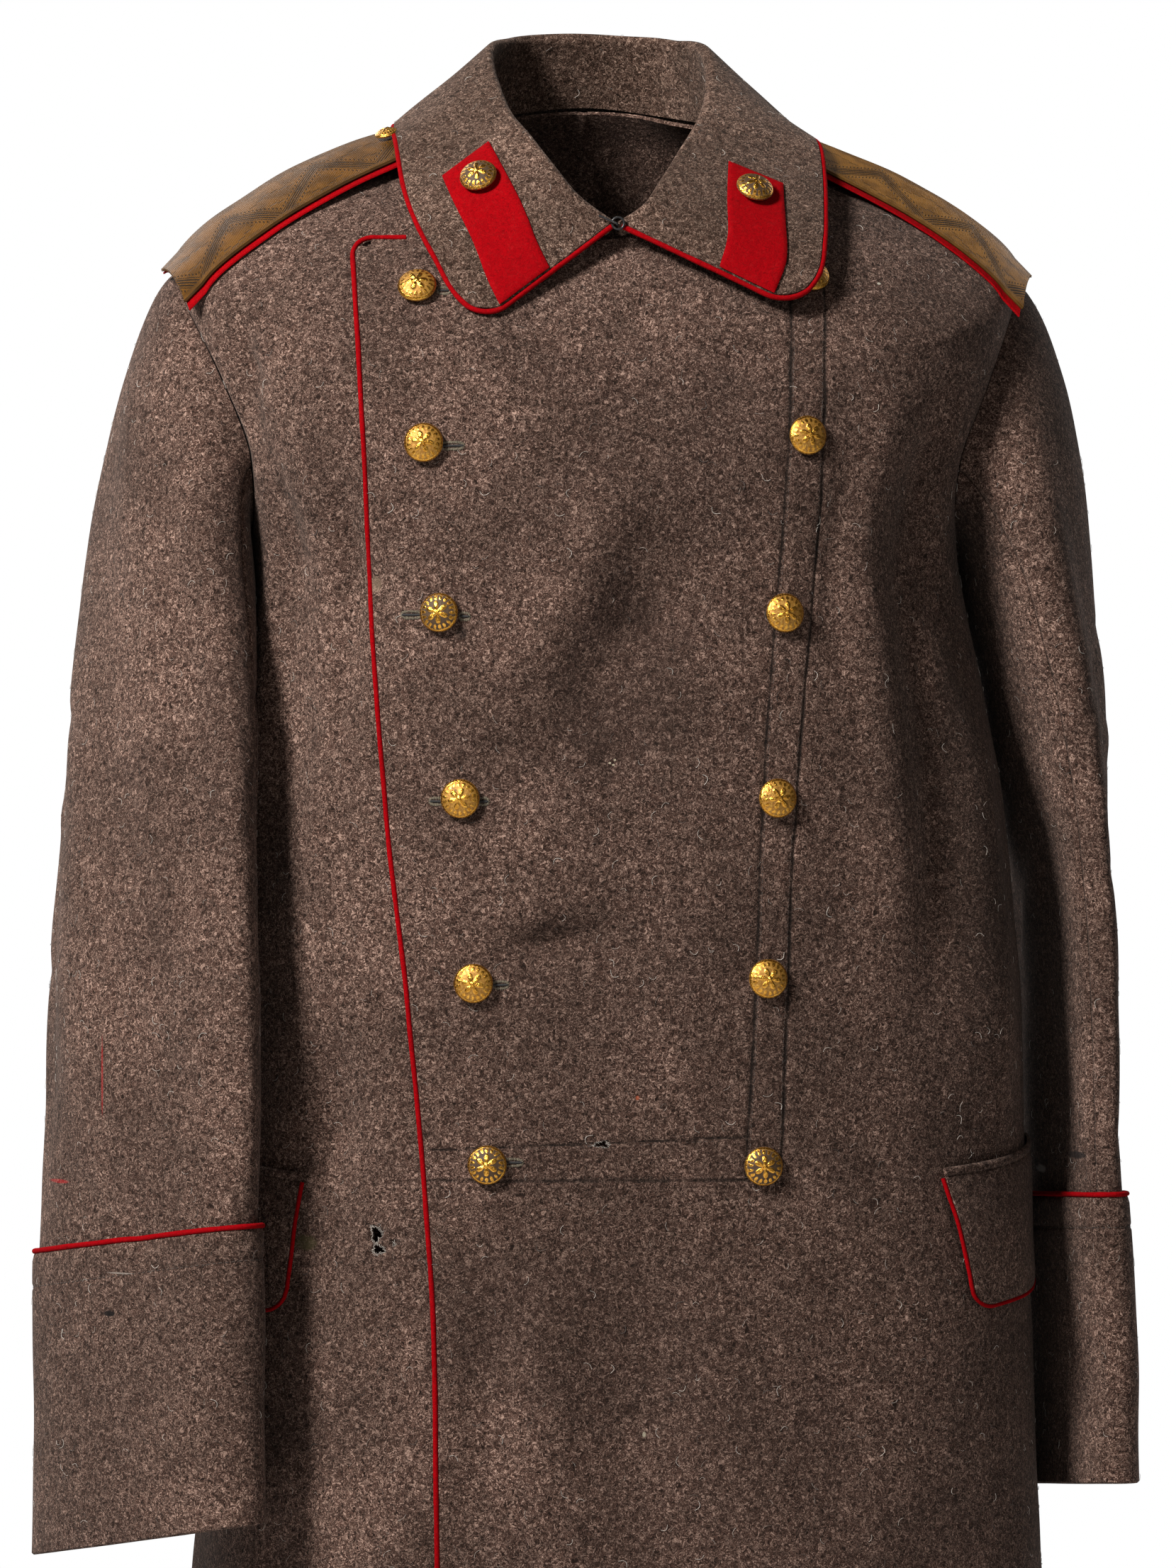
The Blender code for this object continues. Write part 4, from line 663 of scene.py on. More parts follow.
def roundedTips(along, across):
    tipAlong, tipAcross = collarShape["tipAlong"], collarShape["tipAcross"]
    fromEnd = np.minimum(along, 1 - along)
    a = np.clip(1 - fromEnd / tipAlong, 0, 1)
    b = np.clip(1 - (1 - across) / tipAcross, 0, 1)
    drawn = tipAlong * (1 - a * np.sqrt(1 - b**2 / 2))
    along = np.where(a > 0, np.where(along < 0.5, drawn, 1 - drawn), along)
    return along, np.where(b > 0, 1 - tipAcross * (1 - b * np.sqrt(1 - a**2 / 2)), across)


# meshes from grids of points


def newPiece(name, points, faces, look, uv=None, closed=True):
    mesh = bpy.data.meshes.new(name)
    mesh.from_pydata(points.tolist(), [], faces)
    if uv is not None:
        layer = mesh.uv_layers.new(name="cut")
        corners = np.empty(len(mesh.loops), np.int32)
        mesh.loops.foreach_get("vertex_index", corners)
        layer.data.foreach_set("uv", uv[corners].astype(np.float32).ravel())
    if closed:
        shape = bmesh.new()
        shape.from_mesh(mesh)
        bmesh.ops.recalc_face_normals(shape, faces=shape.faces)
        if shape.calc_volume(signed=True) < 0:
            bmesh.ops.reverse_faces(shape, faces=shape.faces)
        shape.to_mesh(mesh)
        shape.free()
    mesh.shade_smooth()
    mesh.set_sharp_from_angle(angle=math.radians(48))
    mesh.materials.append(look)
    piece = bpy.data.objects.new(name, mesh)
    bpy.context.scene.collection.objects.link(piece)
    return piece


# a closed shell between two grids; its free edges are rounded, and a ring's last column joins its first
def shell(name, outer, inner, look, ring=False, rounded=(), uv=None):
    rows, columns = outer.shape[:2]
    count = rows * columns
    points = [outer.reshape(-1, 3), inner.reshape(-1, 3)]
    faces = []
    number = np.arange(count).reshape(rows, columns)
    right = np.roll(number, -1, axis=1)
    last = columns if ring else columns - 1
    a, b = number[:-1, :last].ravel(), right[:-1, :last].ravel()
    c, d = right[1:, :last].ravel(), number[1:, :last].ravel()
    faces += np.stack([a, b, c, d], axis=1).tolist()
    faces += (np.stack([d, c, b, a], axis=1) + count).tolist()
    middle = (outer + inner) / 2
    total = 2 * count
    borders = {
        "top": (number[0], middle[0] - middle[1]),
        "bottom": (number[-1], middle[-1] - middle[-2]),
        "left": (number[:, 0], middle[:, 0] - middle[:, 1]),
        "right": (number[:, -1], middle[:, -1] - middle[:, -2]),
    }
    for side, (line, outward) in borders.items():
        if ring and side in ("left", "right"):
            continue
        flip = side in ("top", "right")
        around = ring and side in ("top", "bottom")
        near, far = line, line + count
        steps = [near, far]
        if side in rounded:
            thick = np.linalg.norm(outer.reshape(-1, 3)[line] - inner.reshape(-1, 3)[line], axis=-1, keepdims=True)
            bulge = middle.reshape(-1, 3)[line] + unit(outward) * thick * 0.42
            points.append(bulge)
            extra = total + np.arange(len(line))
            total += len(line)
            steps = [near, extra, far]
        for low, high in zip(steps, steps[1:]):
            if around:
                low, high = np.append(low, low[0]), np.append(high, high[0])
            quads = np.stack([low[:-1], high[:-1], high[1:], low[1:]], axis=1)
            faces += (quads[:, ::-1] if flip else quads).tolist()
        if side in rounded and not around:
            for k in (0, -1):
                corner = [int(near[k]), int(far[k]), int(extra[k])]
                faces.append(corner if (k == 0) != flip else corner[::-1])
    allUv = None
    if uv is not None:
        flat = uv.reshape(-1, 2)
        allUv = np.concatenate([flat, flat, np.zeros((total - 2 * count, 2))])
    return newPiece(name, np.concatenate(points), faces, look, allUv)


# a round cord of cloth or wire along a path, with capped ends
def tube(name, path, normals, radius, look, sides=10, ring=False):
    path = np.asarray(path, float)
    along = np.roll(path, -1, axis=0) - np.roll(path, 1, axis=0) if ring else np.gradient(path, axis=0)
    along = unit(along)
    up = unit(normals - along * dot(normals, along))
    across = np.cross(along, up)
    turns = np.arange(sides) * 2 * math.pi / sides
    wide = np.broadcast_to(np.asarray(radius, float), (len(path),))[:, None]
    rings = [path + wide * (across * math.cos(t) + up * math.sin(t)) for t in turns]
    points = np.stack(rings, axis=1).reshape(-1, 3)
    count = len(path)
    faces = []
    for i in range(count if ring else count - 1):
        a, b = i * sides, (i + 1) % count * sides
        faces += [[a + j, a + (j + 1) % sides, b + (j + 1) % sides, b + j] for j in range(sides)]
    if not ring:
        faces += [list(range(sides))[::-1], [(count - 1) * sides + j for j in range(sides)]]
    return newPiece(name, points, faces, look)


def awayFrom(path, facing, inside):
    outward = unit(np.cross(np.gradient(path, axis=0), facing))
    middle = len(path) // 2
    return -outward if outward[middle] @ (path[middle] - inside) < 0 else outward


# fractions from 0 to 1 over a length, in even steps but closer together at its ends
def spaced(length, step, startGaps=(), endGaps=()):
    first = np.cumsum((0.0,) + tuple(startGaps)) / length
    last = 1 - np.cumsum((0.0,) + tuple(endGaps))[::-1] / length
    count = max(2, int(round((last[0] - first[-1]) * length / step)))
    return np.concatenate([first[:-1], np.linspace(first[-1], last[0], count + 1), last[1:]])


def settle(piece, nodes):
    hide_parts(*nodes)
    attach(piece, "root")
    return piece


print("sleeves and collar worked out")

# materials


# each input is either another node's output or a plain value
def feed(tree, node, inputs):
    for socket, value in inputs.items():
        if isinstance(value, bpy.types.NodeSocket):
            tree.links.new(value, node.inputs[socket])
        else:
            node.inputs[socket].default_value = value
    return node


def newNode(tree, kind, inputs=None, **settings):
    node = tree.nodes.new(kind)
    for name, value in settings.items():
        setattr(node, name, value)
    return feed(tree, node, inputs or {})


def mathOf(tree, operation, first, second=0.0):
    return newNode(tree, "ShaderNodeMath", {0: first, 1: second}, operation=operation).outputs[0]


def times(tree, first, second):
    return mathOf(tree, "MULTIPLY", first, second)


def plus(tree, first, second):
    return mathOf(tree, "ADD", first, second)


def minus(tree, first, second):
    return mathOf(tree, "SUBTRACT", first, second)


def divided(tree, first, second):
    return mathOf(tree, "DIVIDE", first, second)


def apart(tree, first, second):
    return mathOf(tree, "ABSOLUTE", minus(tree, first, second))


def noiseOf(tree, vector, scale, detail=3.0, rough=0.6, warp=0.0):
    inputs = {"Vector": vector, "Scale": scale, "Detail": detail, "Roughness": rough, "Distortion": warp}
    return newNode(tree, "ShaderNodeTexNoise", inputs).outputs["Fac"]


def rangeOf(tree, value, low, high, toLow=0.0, toHigh=1.0):
    inputs = {"Value": value, "From Min": low, "From Max": high, "To Min": toLow, "To Max": toHigh}
    return newNode(tree, "ShaderNodeMapRange", inputs, interpolation_type="SMOOTHSTEP").outputs["Result"]


def mixColours(tree, amount, first, second):
    node = newNode(tree, "ShaderNodeMix", data_type="RGBA", clamp_factor=True)
    first, second = ((*shade, 1.0) if isinstance(shade, tuple) else shade for shade in (first, second))
    return feed(tree, node, {0: amount, 6: first, 7: second}).outputs[2]


# a shader group with named sockets: inputs as (name, kind, start value), outputs as (name, kind)
def newGroup(name, inputs, outputs):
    tree = bpy.data.node_groups.new(name, "ShaderNodeTree")
    for socket, kind, start in inputs:
        made = tree.interface.new_socket(name=socket, in_out="INPUT", socket_type=kind)
        if start is not None:
            made.default_value = start
    for socket, kind in outputs:
        tree.interface.new_socket(name=socket, in_out="OUTPUT", socket_type=kind)
    return tree, tree.nodes.new("NodeGroupInput"), tree.nodes.new("NodeGroupOutput")


def closeGroup(tree, out, **results):
    for name, value in results.items():
        tree.links.new(value, out.inputs[name])
    return tree


# felted fibres: a fine mottle, curly hairs that lie on it, soft clumps and a slow drift of shade
def feltGroup():
    tree, given, out = newGroup(
        "feltedFibres",
        [("Vector", "NodeSocketVector", None), ("Fineness", "NodeSocketFloat", 620.0),
         ("Hairiness", "NodeSocketFloat", 0.5)],
        [("Mottle", "NodeSocketFloat"), ("Hairs", "NodeSocketFloat"), ("Clumps", "NodeSocketFloat"),
         ("Drift", "NodeSocketFloat"), ("Height", "NodeSocketFloat")],
    )
    place, fine = given.outputs["Vector"], given.outputs["Fineness"]
    swirl = newNode(tree, "ShaderNodeTexNoise", {"Vector": place, "Scale": 260.0, "Detail": 2.0}).outputs["Color"]
    bent = newNode(tree, "ShaderNodeVectorMath", {0: swirl, 1: (0.5, 0.5, 0.5)}, operation="SUBTRACT")
    bent = newNode(tree, "ShaderNodeVectorMath", {0: bent.outputs[0], "Scale": 0.006}, operation="SCALE")
    bent = newNode(tree, "ShaderNodeVectorMath", {0: place, 1: bent.outputs[0]}, operation="ADD").outputs[0]
    curls = noiseOf(tree, bent, times(tree, fine, 0.75), 3.0, 0.7, 1.2)
    grains = noiseOf(tree, bent, times(tree, fine, 1.7), 2.0, 0.6)
    mottle = plus(tree, times(tree, curls, 0.66), times(tree, grains, 0.34))
    clumps = noiseOf(tree, place, times(tree, fine, 0.22), 3.0, 0.6, 0.4)
    drift = noiseOf(tree, place, 11.0, 3.0, 0.55)
    hairs = None
    for scale, spin in ((0.34, 0.0), (0.5, 1.1)):
        turned = newNode(tree, "ShaderNodeVectorRotate", {"Vector": bent, "Angle": spin}, rotation_type="AXIS_ANGLE")
        cells = newNode(
            tree, "ShaderNodeTexVoronoi",
            {"Vector": turned.outputs[0], "Scale": times(tree, fine, scale)},
            feature="DISTANCE_TO_EDGE",
        ).outputs["Distance"]
        line = rangeOf(tree, cells, 0.0, 0.055, 1.0, 0.0)
        broken = rangeOf(tree, noiseOf(tree, place, 190.0 * (1 + scale), 1.0), 0.5, 0.62)
        line = times(tree, line, broken)
        hairs = line if hairs is None else mathOf(tree, "MAXIMUM", hairs, line)
    hairs = times(tree, hairs, given.outputs["Hairiness"])
    height = plus(tree, times(tree, curls, 0.8), times(tree, clumps, 0.6))
    return closeGroup(tree, out, Mottle=mottle, Hairs=hairs, Clumps=clumps, Drift=drift, Height=height)


# a soft-edged ragged spot at a place, stretched along the cloth's axes
def spotGroup():
    tree, given, out = newGroup(
        "raggedSpot",
        [("Vector", "NodeSocketVector", None), ("Centre", "NodeSocketVector", (0.0, 0.0, 0.0)),
         ("Reach", "NodeSocketVector", (0.01, 0.02, 0.01)), ("Raggedness", "NodeSocketFloat", 0.25)],
        [("Mask", "NodeSocketFloat")],
    )
    place = given.outputs["Vector"]
    away = newNode(tree, "ShaderNodeVectorMath", {0: place, 1: given.outputs["Centre"]}, operation="SUBTRACT")
    away = newNode(
        tree, "ShaderNodeVectorMath", {0: away.outputs[0], 1: given.outputs["Reach"]}, operation="DIVIDE"
    )
    away = newNode(tree, "ShaderNodeVectorMath", {0: away.outputs[0]}, operation="LENGTH").outputs["Value"]
    mask = rangeOf(tree, plus(tree, away, given.outputs["Raggedness"]), 0.75, 1.15, 1.0, 0.0)
    return closeGroup(tree, out, Mask=mask)


felted, raggedSpot = feltGroup(), spotGroup()


def newLook(name):
    look = bpy.data.materials.new(name)
    look.use_nodes = True
    tree = look.node_tree
    shader = tree.nodes["Principled BSDF"]
    place = newNode(tree, "ShaderNodeTexCoord").outputs["Object"]
    return look, tree, shader, place


def useGroup(tree, group, inputs):
    return newNode(tree, "ShaderNodeGroup", inputs, node_tree=group).outputs


def spotOf(tree, place, centre, reach, ragged):
    inputs = {"Vector": place, "Centre": centre, "Reach": reach, "Raggedness": ragged}
    return useGroup(tree, raggedSpot, inputs)["Mask"]


def bumpOf(tree, height, distance, strength):
    inputs = {"Height": height, "Distance": distance, "Strength": strength}
    return newNode(tree, "ShaderNodeBump", inputs).outputs["Normal"]


# brown-grey felted wool with dark and pale fibres
woolShades = {
    "coat": {"dark": (0.01, 0.005, 0.003), "middle": (0.074, 0.038, 0.027), "light": (0.4, 0.26, 0.2)},
    "collar": {"dark": (0.012, 0.006, 0.003), "middle": (0.078, 0.041, 0.028), "light": (0.39, 0.258, 0.192)},
}
# worn and stained places, then four broad soft spots of painted shade on the chest, the lower front and the left
# flank: centre, reach, colour, strength
coatStainsAndShade = (
    ((-0.2865, -0.1, -0.683), (0.0046, 0.16, 0.0024), (0.004, 0.003, 0.003), 0.95),
    ((-0.28, -0.1, -0.66), (0.01, 0.16, 0.0007), (0.3, 0.25, 0.21), 0.7),
    ((-0.29, -0.1, -0.55), (0.0007, 0.16, 0.03), (0.3, 0.004, 0.008), 0.5),
    ((-0.314, -0.06, -0.611), (0.007, 0.16, 0.0016), (0.3, 0.004, 0.008), 0.55),
    ((0.274, -0.06, -0.599), (0.0045, 0.12, 0.0028), (0.008, 0.006, 0.006), 0.85),
    ((0.262, -0.06, -0.61), (0.0022, 0.12, 0.0034), (0.48, 0.44, 0.4), 0.7),
    ((-0.176, -0.104, -0.6435), (0.0085, 0.03, 0.006), (0.06, 0.048, 0.02), 0.75),
    ((-0.1373, -0.127, -0.2719), (0.005, 0.02, 0.0065), (0.2, 0.14, 0.09), 0.4),
    ((-0.007, -0.154, -0.3722), (0.0011, 0.03, 0.0009), (0.52, 0.44, 0.31), 0.95),
    ((-0.0042, -0.154, -0.3705), (0.001, 0.03, 0.001), (0.52, 0.44, 0.31), 0.95),
    ((-0.005, -0.154, -0.3733), (0.0012, 0.03, 0.0008), (0.52, 0.44, 0.31), 0.95),
    ((0.1528, -0.11, -0.0977), (0.0016, 0.06, 0.001), (0.52, 0.46, 0.36), 0.8),
    ((0.008, -0.155, -0.56), (0.0016, 0.03, 0.0018), (0.28, 0.055, 0.02), 0.75),
    ((0.012, -0.158, -0.749), (0.0014, 0.03, 0.0022), (0.43, 0.38, 0.27), 0.75),
    ((-0.09, -0.14, -0.299), (0.0045, 0.03, 0.005), (0.008, 0.006, 0.005), 0.55),
    # broad darkening: painted shade over the chest's middle, the lower front and the left flank
    ((0.002, -0.15, -0.33), (0.06, 0.06, 0.075), (0.02, 0.011, 0.008), 0.34),
    ((-0.01, -0.15, -0.69), (0.17, 0.2, 0.06), (0.02, 0.011, 0.008), 0.16),
    ((0.06, -0.15, -0.8), (0.14, 0.2, 0.12), (0.02, 0.011, 0.008), 0.22),
    ((0.21, -0.1, -0.38), (0.035, 0.2, 0.24), (0.01, 0.006, 0.004), 0.42),
)


def woolLook(name, shades, stainsAndShade):
    look, tree, shader, place = newLook(name)
    fibres = useGroup(tree, felted, {"Vector": place, "Fineness": 740.0, "Hairiness": 0.6})
    dark, middle, light = (shades[shade] for shade in ("dark", "middle", "light"))
    colour = mixColours(tree, rangeOf(tree, fibres["Mottle"], 0.41, 0.5), dark, middle)
    colour = mixColours(tree, rangeOf(tree, fibres["Mottle"], 0.51, 0.61, 0.0, 0.92), colour, light)
    colour = mixColours(tree, rangeOf(tree, fibres["Clumps"], 0.36, 0.6, 0.35, 0.0), colour, dark)
    colour = mixColours(tree, rangeOf(tree, fibres["Drift"], 0.4, 0.62, 0.38, 0.0), colour, dark)
    colour = mixColours(tree, times(tree, fibres["Hairs"], 0.45), colour, light)
    # dark seam lines: painted shade along the seam grooves, the armholes and the cuff stitching, a little uneven
    seamShade = newNode(tree, "ShaderNodeAttribute", attribute_name="seamShade").outputs["Fac"]
    seamShade = times(tree, seamShade, rangeOf(tree, noiseOf(tree, place, 55.0, 2.0), 0.36, 0.6, 0.75, 1.0))
    colour = mixColours(tree, rangeOf(tree, seamShade, 0.25, 0.95, 0.0, 0.88), colour, (0.006, 0.004, 0.003))
    ragged = times(tree, fibres["Clumps"], 0.5)
    # stains and worn patches, and broad spots of painted shade
    for centre, reach, shade, strength in stainsAndShade:
        spot = spotOf(tree, place, centre, reach, ragged)
        colour = mixColours(tree, times(tree, spot, strength), colour, shade)
    feed(tree, shader, {
        "Base Color": colour, "Roughness": 0.92, "Specular IOR Level": 0.12, "Sheen Weight": 0.07,
        "Sheen Roughness": 0.45, "Sheen Tint": (0.8, 0.7, 0.62, 1.0),
        "Normal": bumpOf(tree, fibres["Height"], 0.001, 0.85)})
    return look


def feltLook():
    look, tree, shader, place = newLook("redFelt")
    fibres = useGroup(tree, felted, {"Vector": place, "Fineness": 900.0, "Hairiness": 0.35})
    mottle = rangeOf(tree, fibres["Mottle"], 0.34, 0.6)
    colour = mixColours(tree, mottle, (0.145, 0.0003, 0.0014), (0.31, 0.0004, 0.0026))
    colour = mixColours(tree, rangeOf(tree, fibres["Drift"], 0.38, 0.66, 0.35, 0.0), colour, (0.15, 0.0005, 0.002))
    colour = mixColours(tree, times(tree, fibres["Hairs"], 0.12), colour, (0.7, 0.08, 0.07))
    feed(tree, shader, {
        "Base Color": colour, "Roughness": 0.92, "Specular IOR Level": 0.04, "Sheen Weight": 0.03,
        "Sheen Tint": (1.0, 0.1, 0.1, 1.0), "Normal": bumpOf(tree, fibres["Height"], 0.0005, 0.7)})
    return look


# worn gilding over brass, dark in its hollows; relief is the button's own height, from 0 to 1
def giltLook(name, dirtiness):
    look, tree, shader, place = newLook(name)
    relief = newNode(tree, "ShaderNodeAttribute", attribute_name="relief").outputs["Fac"]
    grime = noiseOf(tree, place, 650.0, 4.0, 0.7)
    tarnish = noiseOf(tree, place, 900.0, 3.0, 0.7)
    gold = mixColours(tree, rangeOf(tree, tarnish, 0.35, 0.7), (0.52, 0.215, 0.022), (0.93, 0.5, 0.09))
    hollow = rangeOf(tree, plus(tree, relief, times(tree, grime, 0.9)), 0.56, 0.82, 1.0, 0.0)
    worn = rangeOf(tree, noiseOf(tree, place, 150.0, 3.0, 0.6), 0.56, 0.7, 0.0, 0.75)
    dirt = mathOf(tree, "MAXIMUM", times(tree, hollow, dirtiness), times(tree, worn, hollow))
    feed(tree, shader, {
        "Base Color": mixColours(tree, dirt, gold, (0.04, 0.02, 0.008)),
        "Metallic": rangeOf(tree, dirt, 0.0, 0.8, 1.0, 0.25), "Roughness": rangeOf(tree, dirt, 0.0, 0.8, 0.22, 0.62),
        "Normal": bumpOf(tree, tarnish, 0.0004, 0.8)})
    return look


def wireLook():
    look, tree, shader, place = newLook("blackWire")
    chips = rangeOf(tree, noiseOf(tree, place, 700.0, 3.0), 0.6, 0.7)
    colour = mixColours(tree, chips, (0.012, 0.011, 0.011), (0.09, 0.075, 0.06))
    tree.links.new(colour, shader.inputs["Base Color"])
    tree.links.new(rangeOf(tree, chips, 0.0, 1.0, 0.35, 0.6), shader.inputs["Roughness"])
    tree.links.new(bumpOf(tree, noiseOf(tree, place, 900.0), 0.0002, 0.5), shader.inputs["Normal"])
    return look


def threadLook(name, dark, light):
    look, tree, shader, place = newLook(name)
    strand = noiseOf(tree, place, 1500.0, 3.0, 0.7)
    tree.links.new(mixColours(tree, rangeOf(tree, strand, 0.35, 0.65), dark, light), shader.inputs["Base Color"])
    shader.inputs["Roughness"].default_value = 0.75
    shader.inputs["Sheen Weight"].default_value = 0.15
    tree.links.new(bumpOf(tree, strand, 0.0003, 0.6), shader.inputs["Normal"])
    return look


# woven metal lace. Its own map runs in metres: along the board, and across it from the front edge
laceChart = {"period": 0.062, "width": 0.049, "swing": 0.034, "bandStep": 0.0027, "dotStep": 0.0021,
             "stairStep": 0.0052}


def laceGroup():
    tree, given, out = newGroup(
        "zigzagLace",
        [("Map", "NodeSocketVector", None), ("Period", "NodeSocketFloat", laceChart["period"]),
         ("Swing", "NodeSocketFloat", laceChart["swing"]), ("Band Step", "NodeSocketFloat", laceChart["bandStep"]),
         ("Dot Step", "NodeSocketFloat", laceChart["dotStep"]), ("Width", "NodeSocketFloat", laceChart["width"])],
        [("Lines", "NodeSocketFloat"), ("Weave", "NodeSocketFloat"), ("Border", "NodeSocketFloat")],
    )
    parts = newNode(tree, "ShaderNodeSeparateXYZ", {0: given.outputs["Map"]}).outputs
    along, across = parts[0], parts[1]
    period, swing = given.outputs["Period"], given.outputs["Swing"]
    wander = noiseOf(tree, given.outputs["Map"], 260.0, 2.0)
    wander = times(tree, minus(tree, wander, 0.5), 0.0006)
    # the zigzag's middle line runs between the front edge and the swing
    phase = mathOf(tree, "FRACT", divided(tree, along, period))
    wave = apart(tree, times(tree, phase, 2.0), 1.0)
    middle = times(tree, wave, swing)
    off = apart(tree, plus(tree, across, wander), middle)
    steps = divided(tree, off, given.outputs["Band Step"])
    # three dark lines near the middle, and a dotted one outside them
    nearLine = apart(tree, mathOf(tree, "FRACT", steps), 0.5)
    line = rangeOf(tree, nearLine, 0.14, 0.24)
    inBand = rangeOf(tree, steps, 1.9, 2.1, 1.0, 0.0)
    dots = mathOf(tree, "FRACT", divided(tree, along, given.outputs["Dot Step"]))
    dots = rangeOf(tree, apart(tree, dots, 0.5), 0.15, 0.25, 1.0, 0.0)
    outer = rangeOf(tree, apart(tree, steps, 2.95), 0.26, 0.46, 1.0, 0.0)
    lines = mathOf(tree, "MAXIMUM", times(tree, line, inBand), times(tree, outer, dots))
    # a stepped line in each field between the bands
    stair = mathOf(tree, "FLOOR", divided(tree, along, laceChart["stairStep"]))
    stair = times(tree, stair, laceChart["stairStep"])
    half = mathOf(tree, "FRACT", plus(tree, divided(tree, stair, period), 0.5))
    halfWave = apart(tree, times(tree, half, 2.0), 1.0)
    stairAt = times(tree, halfWave, times(tree, swing, 0.42))
    lowSide = apart(tree, across, plus(tree, stairAt, 0.0035))
    highAt = minus(tree, swing, times(tree, minus(tree, 1.0, halfWave), 0.014))
    highSide = apart(tree, across, highAt)
    field = rangeOf(tree, steps, 3.9, 4.3)
    stairs = rangeOf(tree, mathOf(tree, "MINIMUM", lowSide, highSide), 0.0003, 0.0007, 1.0, 0.0)
    lines = mathOf(tree, "MAXIMUM", lines, times(tree, times(tree, stairs, field), 0.8))
    # three fine lines along each edge
    toEdge = mathOf(tree, "MINIMUM", across, minus(tree, given.outputs["Width"], across))
    rim = mathOf(tree, "FRACT", divided(tree, toEdge, 0.001))
    rim = rangeOf(tree, apart(tree, rim, 0.5), 0.25, 0.42)
    inRim = rangeOf(tree, toEdge, 0.003, 0.0034, 1.0, 0.0)
    lines = times(tree, lines, minus(tree, 1.0, inRim))
    border = times(tree, rim, inRim)
    threads = [newNode(tree, "ShaderNodeTexWave", {"Vector": given.outputs["Map"], "Scale": scale, "Distortion": 0.6,
                                                   "Detail": 1.0}, bands_direction=way).outputs["Fac"]
               for scale, way in ((330.0, "X"), (230.0, "Y"))]
    weave = times(tree, threads[0], threads[1])
    return closeGroup(tree, out, Lines=lines, Weave=weave, Border=border)


zigzagLace = laceGroup()


def laceLook(name, bright, deep, frays):
    look, tree, shader, place = newLook(name)
    given = newNode(tree, "ShaderNodeUVMap", uv_map="cut").outputs["UV"]
    lace = useGroup(tree, zigzagLace, {"Map": given})
    patches = noiseOf(tree, place, 90.0, 3.0, 0.6)
    gold = mixColours(tree, rangeOf(tree, patches, 0.36, 0.64), deep, bright)
    gold = mixColours(tree, rangeOf(tree, lace["Weave"], 0.0, 0.55, 0.25, 0.0), gold, (0.04, 0.022, 0.004))
    marks = mathOf(tree, "MAXIMUM", lace["Lines"], times(tree, lace["Border"], 0.75))
    colour = mixColours(tree, times(tree, marks, 0.94), gold, (0.012, 0.006, 0.002))
    bare, ragged = None, times(tree, noiseOf(tree, place, 330.0, 3.0, 0.7), 0.9)
    for centre, reach in frays:
        spot = spotOf(tree, place, centre, reach, ragged)
        bare = spot if bare is None else mathOf(tree, "MAXIMUM", bare, spot)
    fray = mixColours(tree, rangeOf(tree, noiseOf(tree, place, 900.0, 3.0), 0.35, 0.65), (0.06, 0.05, 0.042),
                      (0.56, 0.52, 0.48))
    colour = mixColours(tree, bare, colour, fray)
    metal = times(tree, rangeOf(tree, marks, 0.0, 1.0, 0.42, 0.0), minus(tree, 1.0, bare))
    raised, sunk = times(tree, lace["Weave"], 0.5), times(tree, marks, 0.9)
    feed(tree, shader, {
        "Base Color": colour, "Metallic": metal, "Specular IOR Level": 0.1,
        "Roughness": rangeOf(tree, lace["Weave"], 0.0, 0.6, 0.6, 0.45),
        "Normal": bumpOf(tree, minus(tree, raised, sunk), 0.0004, 0.55)})
    return look


# where the lace is frayed: centre and reach of each spot
laceFrays = {
    "right": (((-0.205, -0.06, -0.045), (0.008, 0.01, 0.01)),
              ((-0.19, -0.045, -0.04), (0.006, 0.008, 0.01))),
    "left": (((0.2, -0.05, -0.045), (0.007, 0.008, 0.01)),
             ((0.205, -0.065, -0.05), (0.008, 0.008, 0.01))),
}
looks = {
    "coat": woolLook("coatWool", woolShades["coat"], coatStainsAndShade),
    "collar": woolLook("collarWool", woolShades["collar"], ()),
    "felt": feltLook(),
    "gilt": giltLook("gilt", 0.48),
    "giltWorn": giltLook("giltWorn", 0.97),
    "wire": wireLook(),
    "seamThread": threadLook("seamThread", (0.022, 0.014, 0.01), (0.075, 0.05, 0.036)),
    "holeThread": threadLook("buttonholeThread", (0.07, 0.052, 0.03), (0.23, 0.185, 0.12)),
    "slit": threadLook("slitShadow", (0.004, 0.003, 0.002), (0.01, 0.007, 0.005)),
    "paleHair": threadLook("paleHair", (0.33, 0.27, 0.22), (0.62, 0.55, 0.48)),
    "darkHair": threadLook("darkHair", (0.03, 0.02, 0.014), (0.08, 0.058, 0.045)),
    # one lace on both boards, given a darker base colour on the right board and a brighter one on the left: painted
    # shade and painted light for how bright each board looks
    "laceRight": laceLook("laceRight", (0.15, 0.06, 0.007), (0.085, 0.034, 0.004), laceFrays["right"]),
    "laceLeft": laceLook("laceLeft", (0.34, 0.15, 0.022), (0.2, 0.084, 0.01), laceFrays["left"]),
}
print("materials:", len(looks))

# body panels

# grid steps along the cloth, the closer steps beside a seam, and how far a seamed edge rolls in
panel = {"step": 0.0052, "fine": (0.0008, 0.0012, 0.002), "roll": 0.001, "rollReach": 0.0035,
         "hidden": 0.009, "topRows": (0.0, 0.008, 0.02, 0.035, 0.055, 0.085), "upperRows": 34, "holeRows": 46,
         "bandStep": 0.0012, "band": (-0.577, -0.612)}
